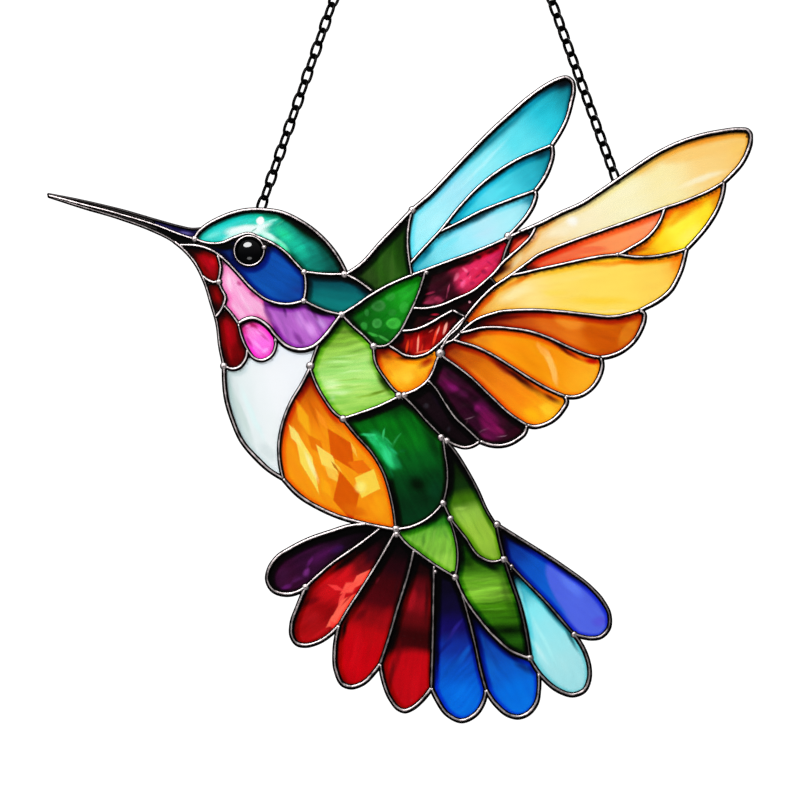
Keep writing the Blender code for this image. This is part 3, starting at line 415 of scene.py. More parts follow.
# Solder that ran in between seams too close for glass, low and dull: its width and its run.
FILLS = [
    (1.7, [(13.2, 221.4), (22.5, 219.1), (33.1, 216.1), (45.5, 212.3)]),
    (1.5, [(20.4, 217.8), (31, 214.8), (39.5, 211.9), (47.2, 209.1)]),
    (1.5, [(91.6, 203.8), (94.8, 202.5)]), (1.2, [(79.9, 204.2), (81, 205.1)]),
    (1.2, [(63.8, 203.4), (68.4, 202)]), (1.6, [(170.4, 161.9), (173.4, 164.3), (176.4, 167.4)]),
    (1.4, [(176.4, 167.4), (178.9, 170)]), (1.2, [(178.5, 166.7), (180.2, 167.9)]),
    (1.2, [(174.2, 162.3), (175.3, 163.2)]), (1.5, [(165.1, 157.7), (166.8, 158.9)]),
    (1.6, [(204.6, 207.6), (205.9, 208.5)]), (1.4, [(158.3, 189.6), (159.8, 190)]),
    (1.4, [(169.8, 117.7), (170.6, 116)]), (1.2, [(124.7, 192.7), (125.1, 191.2)]),
    (1.3, [(200.8, 191.5), (203.8, 192.9)]), (1.3, [(195.3, 197.8), (196.1, 200)]),
    (1.2, [(194.7, 204.3), (195.7, 203.6)]), (1.2, [(112.8, 158.8), (114.1, 158.8)]),
    (1.2, [(122.4, 172.2), (123.6, 172.2)]), (1.2, [(172, 63.5), (173.1, 63.5)]),
    (1.2, [(170.4, 211.4), (171.7, 211.4)]), (1.2, [(127.2, 128.2), (128.4, 128.2)]),
    (1.2, [(245.7, 199.1), (246.9, 199.1)]), (1.2, [(152.4, 213), (153.6, 213)]),
    (1.2, [(111.1, 147.3), (112.2, 147.3)]), (1.2, [(192.4, 81.3), (193.6, 81.3)]),
    (1.2, [(197, 63.8), (198.2, 63.8)]), (1.2, [(71.6, 174.3), (72.8, 174.3)]),
    (1.2, [(68, 186.2), (69.3, 186.3)]), (1.2, [(173.5, 80.9), (174.7, 80.9)]),
    (1.1, [(179.3, 46.1), (180.2, 47.1)]), (1, [(154.5, 196.9), (155.3, 196.9)]),
    (1, [(129.2, 190.2), (130, 189.8)]), (1, [(85.7, 155.1), (86.4, 155.1)]),
]

# Drops of solder where seams meet: x, z and radius.
SOLDER_DROPS = [
    (62.7, 205.3, 1.6), (75.1, 151.3, 1.7), (109.2, 191.2, 1.6), (109.1, 178.9, 1.6), (126.4, 190.2, 1.8),
    (125.2, 173, 1.8), (125.8, 128.8, 1.8), (149.5, 138.7, 1.9), (151.9, 138.8, 1.7), (138.8, 159.6, 1.8),
    (111.9, 151.3, 1.9), (161.3, 191, 1.1), (167.2, 156.6, 2.3), (167.6, 120.9, 1.8), (170, 119.4, 1.7),
    (168.4, 92.9, 1.8), (171.4, 86.4, 1.6), (148.3, 81.8, 2), (148.5, 79.7, 1.6), (173.4, 61.4, 1.8),
    (191.2, 83.8, 1.8), (194.2, 69.1, 1.9), (197.4, 66.2, 1.1), (205.2, 27.2, 1.7), (165, 63.8, 1),
    (109.8, 57.2, 1.7), (224.1, 37.1, 1.6), (73, 187, 1.6), (97, 162.1, 0.9), (155.3, 217.6, 1.8),
    (196.1, 206.5, 1.9), (242.5, 198.7, 1.1), (92.2, 201.7, 1.3),
]


def in_frame(x, z, y):
    """Points of the sheet, y millimetres behind its middle, in the frame and in metres.

    None may lie outside the box of the solids, so those that would are moved onto it.
    """
    x, z, y = np.broadcast_arrays(x, z, y)
    points = np.stack([x + SHEET_CORNER[0], y, z + SHEET_CORNER[1]], axis=-1).reshape(-1, 3)
    return np.clip(points * MM, *CAD_BOX)


def smooth_run(points, step):
    """A curve through the points, as points about a step apart, in four steps at least.

    Each span is a cubic whose end slopes are those of the parabola through three neighbouring points.
    """
    knots = np.array(points, float)
    spans = np.diff(knots, axis=0)
    lengths = np.linalg.norm(spans, axis=1)[:, None]
    rates = spans / lengths
    slopes = np.empty_like(knots)
    slopes[1:-1] = (rates[:-1] * lengths[1:] + rates[1:] * lengths[:-1]) / (lengths[1:] + lengths[:-1])
    slopes[0] = 1.5 * rates[0] - 0.5 * (slopes[1] if len(knots) > 2 else rates[0])
    slopes[-1] = 1.5 * rates[-1] - 0.5 * (slopes[-2] if len(knots) > 2 else rates[-1])

    t = np.arange(SPAN_PARTS)[:, None, None] / SPAN_PARTS
    run = (
        (2 * t**3 - 3 * t**2 + 1) * knots[:-1]
        + (t**3 - 2 * t**2 + t) * lengths * slopes[:-1]
        + (3 * t**2 - 2 * t**3) * knots[1:]
        + (t**3 - t**2) * lengths * slopes[1:]
    )
    run = np.concatenate([run.transpose(1, 0, 2).reshape(-1, 2), knots[-1:]])
    along = np.concatenate([[0], np.cumsum(np.linalg.norm(np.diff(run, axis=0), axis=1))])
    stops = np.linspace(0, along[-1], max(4, round(along[-1] / step)) + 1)
    return np.stack([np.interp(stops, along, run[:, i]) for i in (0, 1)], axis=1)


def across_run(run, closed):
    """The unit direction across a run at each of its points: a quarter turn left of the way it goes."""
    along = np.roll(run, -1, axis=0) - np.roll(run, 1, axis=0) if closed else np.gradient(run, axis=0)
    along /= np.linalg.norm(along, axis=1)[:, None]
    return np.stack([-along[:, 1], along[:, 0]], axis=1)


def wander(count, spacing, seed):
    """A slow random change along a run, from -1 to 1: random knots joined by half cosine waves."""
    at = np.arange(count) * spacing / WANDER_LENGTH
    knots = np.random.default_rng(seed).uniform(-1, 1, int(at[-1]) + 2)
    low = at.astype(int)
    ease = (1 - np.cos(np.pi * (at - low))) / 2
    return knots[low] * (1 - ease) + knots[low + 1] * ease


def tube_faces(rings, around, closed):
    """The quads between neighbouring rings of a tube, and its two end caps if it isn't closed."""
    ring = np.arange(rings if closed else rings - 1)[:, None] * around
    next_ring = (ring + around) % (rings * around)
    here = np.arange(around)[None]
    beside = (here + 1) % around
    quads = np.stack([ring + here, ring + beside, next_ring + beside, next_ring + here], axis=-1)
    if closed:
        return [quads.reshape(-1, 4)]
    caps = np.stack([np.arange(around)[::-1], np.arange(around) + (rings - 1) * around])
    return [quads.reshape(-1, 4), caps]


def bead_rise(width):
    """A bead's height over the glass, which grows with the square root of its width."""
    return BEAD_RISE * (width / EDGE) ** 0.5


def bead(run, width, rise, seed, closed=False):
    """A seam's bead along a run: points in the frame, faces, and how near each point is to the crest.

    Over each face the section is half an ellipse, width by rise; between the faces its sides run straight
    through the glass. The ends reach BEAD_OVER past the run and are rounded off with a quarter circle,
    and near their tips the two faces draw together.
    A point's nearness is 1 less the square of how far it lies across the bead from its bright line, which
    is set off the crest toward the light as a painted highlight.
    """
    spacing = np.linalg.norm(run[1] - run[0])
    taper = np.ones(len(run))
    uneven = np.zeros(len(run))
    if not closed:
        over = BEAD_OVER / spacing
        first = run[0] + over * (run[0] - run[1])
        last = run[-1] + over * (run[-1] - run[-2])
        run = np.concatenate([[first], run, [last]])
        from_end = np.minimum(np.arange(len(run)), np.arange(len(run))[::-1]) * spacing
        taper = np.sqrt(1 - np.clip(1 - END_ROUND * from_end / width, 0, END_CUT) ** 2)
        uneven = BEAD_WANDER * wander(len(run), spacing, seed)
    half = width / 2 * taper * (1 + uneven)
    rise = rise * taper * (1 + 2 * np.roll(uneven, HEIGHT_LAG))

    turn = np.linspace(0, np.pi, BEAD_POINTS)
    turn = np.concatenate([turn, turn + np.pi])
    face = np.repeat([-1, 1], BEAD_POINTS)
    across = across_run(run, closed)
    x, z = (run[:, i, None] + across[:, i, None] * half[:, None] * np.cos(turn) for i in (0, 1))
    y = face * (GLASS_HALF * np.minimum(1, taper * 2)[:, None] + rise[:, None] * np.abs(np.sin(turn)))
    # The bright line is moved toward the light: a painted highlight, with the shaded side left dark.
    crest = 1 - (np.cos(turn) - (across @ HIGHLIGHT_SIDE)[:, None]) ** 2
    return in_frame(x, z, y), tube_faces(len(run), len(turn), closed), crest.ravel()


def drop(x, z, radius, flat=1.0, behind=0.0):
    """A drop of solder over both faces: half an ellipse turned about its axis over each.

    It is squeezed along that axis to the share flat, and its middle lies behind the sheet's by behind.
    How near it is to the crest runs from 0.75 at the waist to 1 at the poles.
    """
    rings = np.linspace(-np.pi / 2, np.pi / 2, DROP_RINGS)[:, None]
    x, z = (place + radius * np.cos(rings) * turned for place, turned in zip((x, z), circle(DROP_SIDES).T))
    y = behind + flat * (np.sign(rings) * GLASS_HALF + DROP_RISE * np.sin(rings))
    crest = np.broadcast_to(0.75 + 0.25 * np.abs(np.sin(rings)), x.shape)
    return in_frame(x, z, y), tube_faces(DROP_RINGS, DROP_SIDES, False), crest.ravel()


def joined(shapes):
    """Several shapes as one: each is its points, its faces and a number for each point."""
    starts = np.cumsum([0] + [len(shape[0]) for shape in shapes])
    faces = [grid + start for (_, grids, _), start in zip(shapes, starts) for grid in grids]
    points = np.concatenate([shape[0] for shape in shapes])
    numbers = np.concatenate([shape[2] for shape in shapes])
    return points, faces, numbers


def solder(name, metal, patina):
    """Tin-lead solder under a black patina: satin metal, bright where the crest is rubbed. The rubbed band
    lies toward the light, so it is partly a painted highlight.

    The patina lies unevenly, in patches of about 3 mm, and ripples of about 1 mm break up the gloss.
    """
    made, tree, shader = new_material(name)
    place = add(tree, "ShaderNodeTexCoord").outputs["Object"]
    crest = add(tree, "ShaderNodeAttribute", attribute_name="crest").outputs["Fac"]
    patches = add(tree, "ShaderNodeTexNoise", {"Vector": place},
                  {"Scale": PATCHES_PER_MM / MM, "Detail": 3.0}).outputs[0]
    high = add(tree, "ShaderNodeMath", {0: patches, 2: crest}, {1: PATCH_BITE},
               operation="MULTIPLY_ADD").outputs[0]
    worn = add(tree, "ShaderNodeAttribute", attribute_name="worn").outputs["Fac"]
    rub = add(tree, "ShaderNodeMapRange", {"Value": high, "To Max": worn},
              {"From Min": RUBBED[0], "From Max": RUBBED[1]}, interpolation_type="SMOOTHSTEP")
    tone = add(tree, "ShaderNodeMix", {"Factor": rub.outputs[0]}, {"A": linear(patina), "B": linear(metal)},
               data_type="RGBA")
    tree.links.new(tone.outputs["Result"], shader.inputs["Base Color"])
    gloss = add(tree, "ShaderNodeMapRange", {"Value": patches}, {"To Min": 0.34, "To Max": 0.5})
    tree.links.new(gloss.outputs[0], shader.inputs["Roughness"])
    ripple = add(tree, "ShaderNodeTexNoise", {"Vector": place},
                 {"Scale": RIPPLES_PER_MM / MM, "Detail": 1.0}).outputs[0]
    relief = add(tree, "ShaderNodeBump", {"Height": ripple}, {"Strength": 0.25, "Distance": 0.2 * MM})
    tree.links.new(relief.outputs[0], shader.inputs["Normal"])
    shader.inputs["Metallic"].default_value = 1.0
    return made


seam_runs = {name: (width, smooth_run(points, SEAM_STEP)) for name, (width, points) in SEAMS.items()}
eye_run = np.array(EYE_CENTRE) + EYE_RADIUS * circle(EYE_SEAM_RINGS)

shapes = []                         # each with the share of the patina that came off its crest
for number, (name, (width, run)) in enumerate(seam_runs.items()):
    shapes.append((bead(run, width, bead_rise(width), number), WORN.get(name, 1.0)))
for number, (width, points) in enumerate(FILLS):
    shapes.append((bead(smooth_run(points, SEAM_STEP), width, FILL_RISE, number), 0.0))
shapes.append((bead(eye_run, EYE_SEAM, bead_rise(EYE_SEAM), 0, closed=True), 1.0))
shapes += [(drop(*place), 1.0) for place in SOLDER_DROPS]
points, faces, crest = joined([shape for shape, _ in shapes])
worn = np.concatenate([np.full(len(shape[0]), share) for shape, share in shapes])
patinated = solder("patinated_solder", "#d6caca", "#161414")
leading = new_piece("soldered_seams", points, faces, patinated, crest=crest, worn=worn)
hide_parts("leading")
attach(leading, "root")

# ------------------------------------------------------------------------------------------------------
# The glass: 3 mm art glass, cut pane by pane and held in the seams. It is rolled with streaks of colour
# through it and drawn smooth, or full of seeds in the scapular, upper ruby and plum panes. A pane is
# painted darker beside its seams as painted shade, where light reaches it least, and most of all below and
# right of one, as a painted shadow.
# ------------------------------------------------------------------------------------------------------

PANE_STEP = 0.8                     # between a pane's points
PANE_MARGIN = 2                     # how far the grid that it is cut from reaches past its solid
TUCK = 0.7                          # how far the glass reaches past its solid's edge, in under the seam
LIP = 0.08                          # and how much farther its lip reaches
BACK_RELIEF = 0.3                   # the relief of a pane's back, as a share of its front's
WAVE_LENGTH = 14                    # of drawn glass
WAVE_RISE = 0.06
WAVE_CELLS = 61                     # of random heights, before they repeat
SEED_CELL = 3.2                     # of the bubbles in seedy glass
SEED_CELLS = 97                     # of random bubbles, before they repeat
SEED_RADIUS = 0.5                   # of the smallest bubble
SEED_SPREAD = 1.3                   # and how much larger the largest is
SEED_RISE = 0.16
SHADE_SHIFT = np.array([-0.6, 0.8])   # toward the light, of what a seam shades
SHADE_SEARCH = 6.0                  # how far a pane's points look for a seam
RIM_REACH = 2.2                     # how far from a seam painted shade deepens the colour
RIM_DEPTH = 1.0                     # by this power at most
EDGE_START = -0.5                   # where a seam's own shadow is darkest, from the seam's side,
EDGE_REACH = 0.25                   # where it ends,
EDGE_DARK = 0.85                    # and how dark it is at most
GLASS_IOR = 1.52
GLASS_ROUGHNESS = 0.09
BEND_PER_MM = 0.11                  # how closely the noise that bends the colours lies
STREAK_SIZE = (16, 2.4, 16)         # of the fine streaks, along and across their run
STREAK_CONTRAST = (0.25, 0.75)      # what of their noise is taken for black and for white
DIMPLES_PER_MM = 0.45               # in the skin of the glass
DIMPLE_DEPTH = 0.12


def solid_outline(node):
    """The edges of a plate's front face on the sheet, as their two ends.

    They are the edges that only one of the front's triangles has.
    """
    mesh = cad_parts[node].data
    mesh.calc_loop_triangles()
    corners = np.empty(3 * len(mesh.vertices), np.float32)
    mesh.vertices.foreach_get("co", corners)
    corners = corners.astype(float).reshape(-1, 3) / MM
    triangles = np.empty(3 * len(mesh.loop_triangles), np.int32)
    mesh.loop_triangles.foreach_get("vertices", triangles)
    triangles = triangles.reshape(-1, 3)
    triangles = triangles[(corners[triangles][:, :, 1] < 0).all(axis=1)]
    spots, merged = np.unique(np.round(corners[:, [0, 2]], 3), axis=0, return_inverse=True)
    edges = merged.ravel()[triangles][:, [[0, 1], [1, 2], [2, 0]]].reshape(-1, 2)
    edges, uses = np.unique(np.sort(edges, axis=1), axis=0, return_counts=True)
    return (spots - SHEET_CORNER)[edges[uses == 1]].transpose(1, 0, 2)


def from_outline(points, starts, ends):
    """How far points lie outside an outline, below zero inside, and the outward direction there.

    A point is inside where the outline crosses the level line to its right an odd number of times.
    """
    along = ends - starts
    share = np.sum((points[:, None] - starts) * along, axis=2) / np.sum(along**2, axis=1)
    nearest = starts + np.clip(share, 0, 1)[..., None] * along
    gaps = np.linalg.norm(points[:, None] - nearest, axis=2)
    closest = np.argmin(gaps, axis=1)
    rows = np.arange(len(points))
    straddles = (starts[:, 1] > points[:, None, 1]) != (ends[:, 1] > points[:, None, 1])
    level = np.where(straddles, along[:, 1], 1)
    crossing = starts[:, 0] + (points[:, None, 1] - starts[:, 1]) * along[:, 0] / level
    inside = np.count_nonzero(straddles & (crossing > points[:, None, 0]), axis=1) % 2 == 1
    distance = np.where(inside, -1, 1) * gaps[rows, closest]
    outward = (points - nearest[rows, closest]) / np.where(np.abs(distance) < 1e-6, 1, distance)[:, None]
    return distance, outward


def from_seams(points):
    """How far points of the sheet lie from the side of the nearest seam, SHADE_SEARCH at most."""
    low, high = points.min(axis=0) - SHADE_SEARCH, points.max(axis=0) + SHADE_SEARCH
    gaps = np.full(len(points), SHADE_SEARCH)
    for width, run in [*seam_runs.values(), (EYE_SEAM, eye_run)]:
        near = run[((run > low) & (run < high)).all(axis=1)]
        if len(near):
            reach = np.linalg.norm(points[:, None] - near, axis=2).min(axis=1) - width / 2
            gaps = np.minimum(gaps, reach)
    return gaps


def drawn(x, z, seed):
    """Glass drawn smooth, in low waves: random heights on a lattice, blended by smoothstep weights."""
    heights = np.random.default_rng(seed).uniform(-1, 1, (WAVE_CELLS, WAVE_CELLS))
    column, row = np.floor(x / WAVE_LENGTH).astype(int), np.floor(z / WAVE_LENGTH).astype(int)
    u, v = x / WAVE_LENGTH - column, z / WAVE_LENGTH - row
    u, v = u * u * (3 - 2 * u), v * v * (3 - 2 * v)
    left, right, low, high = (i % WAVE_CELLS for i in (column, column + 1, row, row + 1))
    under = heights[left, low] * (1 - u) + heights[right, low] * u
    over = heights[left, high] * (1 - u) + heights[right, high] * u
    return WAVE_RISE * (under * (1 - v) + over * v)


def seedy(x, z, seed):
    """Glass full of bubbles: in each cell of a lattice one low dome, at a random place and size."""
    chance = np.random.default_rng(seed).uniform(0, 1, (3, SEED_CELLS, SEED_CELLS))
    column, row = np.floor(x / SEED_CELL).astype(int), np.floor(z / SEED_CELL).astype(int)
    domes = np.zeros(len(x))
    for right, up in np.ndindex(3, 3):
        i, j = column + right - 1, row + up - 1
        shift_x, shift_z, size = chance[:, i % SEED_CELLS, j % SEED_CELLS]
        away = np.hypot(x - (i + shift_x) * SEED_CELL, z - (j + shift_z) * SEED_CELL)
        reach = away / (SEED_RADIUS + SEED_SPREAD * size)
        domes = np.maximum(domes, np.sqrt(np.clip(1 - reach**2, 0, 1)))
    return SEED_RISE * domes + drawn(x, z, seed)


def pane_mesh(node, face, seed):
    """A pane as points, faces and shade: a square grid cut to the outline, a face on each side and an edge.

    The outermost points move straight out onto the outline, and face gives the front's relief. A narrow
    flat lip outside them keeps the edge's slope out of the smooth shading of the faces.
    """
    starts, ends = solid_outline(node)
    outline = np.concatenate([starts, ends])
    low, high = outline.min(axis=0) - PANE_MARGIN, outline.max(axis=0) + PANE_MARGIN
    columns, rows = (np.arange(low[i], high[i], PANE_STEP) for i in (0, 1))
    x, z = np.meshgrid(columns, rows, indexing="ij")
    grid = np.stack([x.ravel(), z.ravel()], axis=1)
    distance, outward = from_outline(grid, starts, ends)
    within = (distance < TUCK).reshape(x.shape)
    cells = within[:-1, :-1] & within[1:, :-1] & within[1:, 1:] & within[:-1, 1:]

    number = np.arange(x.size).reshape(x.shape)
    quads = np.stack([number[:-1, :-1], number[1:, :-1], number[1:, 1:], number[:-1, 1:]], axis=-1)
    beside = np.pad(cells, 1)
    open_sides = [~beside[1:-1, :-2], ~beside[2:, 1:-1], ~beside[1:-1, 2:], ~beside[:-2, 1:-1]]
    rim = np.concatenate([quads[cells & side][:, [i, (i + 1) % 4]] for i, side in enumerate(open_sides)])
    used, renumbered = np.unique(quads[cells], return_inverse=True)
    edge, on_edge = np.unique(rim, return_inverse=True)
    grid[edge] += (TUCK - distance[edge])[:, None] * outward[edge]
    spots = np.concatenate([grid[used], grid[edge] + LIP * outward[edge]])

    quads = renumbered.reshape(-1, 4)
    inner = np.searchsorted(used, rim)
    lip = len(used) + on_edge.reshape(rim.shape)
    quads = np.concatenate([quads, np.concatenate([inner[:, ::-1], lip], axis=1)])
    faces = [quads, quads[:, ::-1] + len(spots), np.concatenate([lip[:, ::-1], lip + len(spots)], axis=1)]
    relief = face(spots[:, 0], spots[:, 1], seed)
    front = in_frame(spots[:, 0], spots[:, 1], -GLASS_HALF - relief)
    back = in_frame(spots[:, 0], spots[:, 1], GLASS_HALF + BACK_RELIEF * relief)
    shade = np.tile(from_seams(spots + SHADE_SHIFT), 2)
    return np.concatenate([front, back]), faces, shade


def art_glass(name, start, end, colours, strokes, turn, grain, wisp, clear, edge):
    """Streaky art glass for one pane: a ramp of colours, streaks laid over it in turn, and painted shade at
    seams.

    The ramp runs from start to end on the sheet. A stroke is a soft ellipse: its middle, its half length
    and half width in mm, its turn in degrees, its colour, how much of it fades, and how strong it is.
    With a fade below zero it is a straight-sided shard instead. wisp is how far noise bends them, grain
    how much fine streaks show and turn their direction, clear how much light comes through, and edge how
    dark a seam's shadow is.
    """
    made, tree, shader = new_material(name)
    place = add(tree, "ShaderNodeTexCoord").outputs["Object"]
    sheet = add(tree, "ShaderNodeMapping", {"Vector": place}, {
        "Scale": (1 / MM, 1 / MM, 1 / MM),
        "Rotation": (-np.pi / 2, 0, 0),
        "Location": (*-SHEET_CORNER, 0),
    }).outputs[0]
    noise = add(tree, "ShaderNodeTexNoise", {"Vector": sheet},
                {"Scale": BEND_PER_MM, "Detail": 2.0}).outputs["Color"]
    bend = add(tree, "ShaderNodeVectorMath", {0: noise}, {1: (2 * wisp, 2 * wisp, 0), 2: (-wisp, -wisp, 0)},
               operation="MULTIPLY_ADD").outputs[0]
    bent = add(tree, "ShaderNodeVectorMath", {0: sheet, 1: bend}, operation="ADD").outputs[0]

    reach = np.subtract(end, start)
    ramp_place = add(tree, "ShaderNodeMapping", {"Vector": bent}, {
        "Location": (*start, 0),
        "Rotation": (0, 0, np.arctan2(reach[1], reach[0])),
        "Scale": (np.hypot(*reach), 1, 1),
    }, vector_type="TEXTURE")
    share = add(tree, "ShaderNodeTexGradient", {"Vector": ramp_place.outputs[0]}).outputs["Fac"]
    ramp = add(tree, "ShaderNodeValToRGB", {"Fac": share})
    colours = colours.split()
    stops = ramp.color_ramp.elements
    for i, colour in enumerate(colours):
        stop = stops[i] if i < 2 else stops.new(1.0)
        stop.position = i / (len(colours) - 1)
        stop.color = linear(colour)
    ramp.color_ramp.interpolation = "EASE"
    colour = ramp.outputs["Color"]

    for x, z, half_length, half_width, angle, hue, soft, strong in strokes:
        own = add(tree, "ShaderNodeMapping", {"Vector": bent}, {
            "Location": (x, z, 0),
            "Rotation": (0, 0, np.radians(angle)),
            "Scale": (half_length, half_width, 1000),
        }, vector_type="TEXTURE").outputs[0]
        if soft < 0:
            sides = add(tree, "ShaderNodeVectorMath", {0: own}, operation="ABSOLUTE").outputs[0]
            far = add(tree, "ShaderNodeVectorMath", {0: sides}, {1: (1, 1, 0)}, operation="DOT_PRODUCT")
        else:
            far = add(tree, "ShaderNodeVectorMath", {0: own}, operation="LENGTH")
        cover = add(tree, "ShaderNodeMapRange", {"Value": far.outputs["Value"]},
                    {"From Min": 1.0, "From Max": 1 - abs(soft), "To Max": strong},
                    interpolation_type="SMOOTHSTEP").outputs[0]
        colour = add(tree, "ShaderNodeMix", {"Factor": cover, "A": colour}, {"B": linear(hue)},
                     data_type="RGBA").outputs["Result"]

    own = add(tree, "ShaderNodeMapping", {"Vector": bent}, {
        "Rotation": (0, 0, np.radians(turn)),
        "Scale": STREAK_SIZE,
    }, vector_type="TEXTURE").outputs[0]
    streaks = add(tree, "ShaderNodeTexNoise", {"Vector": own}, {"Scale": 1.0, "Detail": 3.0}).outputs[0]
    streaks = add(tree, "ShaderNodeMapRange", {"Value": streaks},
                  {"From Min": STREAK_CONTRAST[0], "From Max": STREAK_CONTRAST[1]}).outputs[0]
    colour = add(tree, "ShaderNodeMix", {"A": colour, "B": streaks}, {"Factor": grain},
                 data_type="RGBA", blend_type="OVERLAY").outputs["Result"]

    # Painted shade: near the seams the colour is deepened and darkened, most below and right of each seam.
    shade = add(tree, "ShaderNodeAttribute", attribute_name="shade").outputs["Fac"]
    power = add(tree, "ShaderNodeMapRange", {"Value": shade},
                {"From Min": 0.0, "From Max": RIM_REACH, "To Min": 1 + RIM_DEPTH, "To Max": 1.0},
                interpolation_type="SMOOTHSTEP").outputs[0]
    light = add(tree, "ShaderNodeMapRange", {"Value": shade},
                {"From Min": EDGE_START, "From Max": EDGE_REACH, "To Min": 1 - edge, "To Max": 1.0},
                interpolation_type="SMOOTHSTEP").outputs[0]
    deep = add(tree, "ShaderNodeGamma", {"Color": colour, "Gamma": power}).outputs[0]
    dark = add(tree, "ShaderNodeMix", {"A": deep, "B": light}, {"Factor": 1.0}, data_type="RGBA",
               blend_type="MULTIPLY").outputs["Result"]
    tree.links.new(dark, shader.inputs["Base Color"])

    skin = add(tree, "ShaderNodeTexNoise", {"Vector": sheet},
               {"Scale": DIMPLES_PER_MM, "Detail": 2.0}).outputs[0]
    skin = add(tree, "ShaderNodeBump", {"Height": skin}, {"Strength": DIMPLE_DEPTH, "Distance": MM})
    tree.links.new(skin.outputs[0], shader.inputs["Normal"])
    shader.inputs["IOR"].default_value = GLASS_IOR
    shader.inputs["Roughness"].default_value = GLASS_ROUGHNESS
    shader.inputs["Transmission Weight"].default_value = clear
    return made


def pane(name, start, end, colours, strokes=(), face=drawn, turn=0, grain=0.3, wisp=2.0, clear=0.9,
         edge=EDGE_DARK):
    """Cuts one pane, with its own glass, in place of the solid of the same name."""
    node = f"glass_{name}"
    points, faces, shade = pane_mesh(node, face, len(bpy.data.meshes))
    glass = art_glass(f"{name}_art_glass", start, end, colours, strokes, turn, grain, wisp, clear, edge)
    piece = new_piece(f"{name}_pane", points, faces, glass, shade=shade)
    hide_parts(node)
    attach(piece, "root")


# The bill and the head.
pane("bill_upper", (5.5, 221.8), (65, 205.7), "#0a0814 #18142c #2c2450 #3c3270 #4a3f88", [
    (50.1, 210.8, 17, 0.6, -18, "#7c76a8", 0.9, 0.6), (59.1, 207.8, 4.2, 1.1, -18, "#a49ed0", 0.9, 0.9),
], turn=-14, edge=0.5)
pane("bill_lower", (5.5, 219.7), (65, 204), "#050408 #0a0812 #08060c", turn=-12)
pane("crown", (65, 206.5), (122.4, 195.5), "#58e0d8 #3cdad2 #34d0b8 #16aa8c #0e8c7a #065048", [
    (75.6, 215.5, 13.6, 1.7, 24, "#2a9c90", 0.9, 0.5), (70.1, 207, 6, 1.7, 10, "#74eade", 0.8, 0.7),
    (82, 214.2, 9.3, 2.1, 8, "#40dcd4", 0.7, 0.8), (94.3, 215.5, 4.2, 1.3, -4, "#24a088", 0.8, 0.8),
    (100.7, 207.4, 7.2, 3.8, -40, "#24d8a2", 0.8, 0.95),
    (106.7, 201.9, 9.3, 3.8, -48, "#16c4a0", 0.9, 0.85), (109.2, 209.9, 17.8, 4.2, -41, "#022c1a", 0.7, 1),
    (102, 214.6, 5.5, 1.7, -18, "#0a4a30", 0.7, 0.95), (117.3, 200.6, 11, 3, -55, "#044c40", 0.9, 0.85),
    (84.6, 208.7, 11, 3.4, 4, "#f0fffc", 0.5, 1), (77.8, 206.1, 6.4, 1.7, 32, "#c8fcf4", 0.8, 0.9),
    (93.9, 206.1, 6.4, 2.1, -28, "#d8fff4", 0.7, 1), (99.9, 202.3, 5.5, 1.7, -42, "#8cfcd4", 0.8, 0.95),
    (91.4, 210.8, 5.5, 2.1, 20, "#e8fffb", 0.8, 0.97), (94.8, 212.9, 5.1, 0.9, 24, "#9cf4e4", 0.8, 0.95),
    (99, 212.5, 3.4, 0.5, 35, "#4cd0a8", 0.8, 0.7), (88, 209.5, 1.7, 0.4, 30, "#2a8c74", 0.6, 0.7),
    # A painted reflection: the white spot below is a lamp's glint painted on the glass.
    (90.7, 213.1, 2.1, 2.1, 0, "#ffffff", 0.35, 1),
], turn=25, grain=0.3, wisp=1.2)
pane("cheek", (75.6, 200.6), (103.3, 179.3), "#06205c #0a3c90 #0a4ca8 #0a4eaa #0c449c", [
    (75.2, 202.3, 8.5, 2.5, -8, "#020308", 0.7, 1), (103.3, 196.8, 10.2, 2.5, -45, "#03103c", 0.9, 0.9),
    (93.9, 200.6, 3.8, 3.4, 0, "#051c54", 0.9, 0.8), (92.2, 184, 10.2, 5.1, -35, "#0c58b8", 0.9, 0.6),
    (80.3, 195.5, 4.2, 2.1, -50, "#082c74", 0.9, 0.7), (107.1, 183.6, 2.1, 5.1, 90, "#1a3590", 0.9, 0.5),
], turn=-30, grain=0.2, wisp=1.2)
pane("nape", (122.4, 190.4), (120.3, 173), "#012632 #03505a #066e70 #087c7a #067674", [
    (128.8, 188.3, 12.8, 3, -24, "#011a26", 0.9, 0.9), (134.7, 183.2, 4.7, 3.4, -30, "#023644", 0.9, 0.8),
    (113.9, 185.7, 3.4, 4.2, 0, "#034c58", 0.9, 0.6),
], turn=-15, grain=0.15, wisp=1.2)

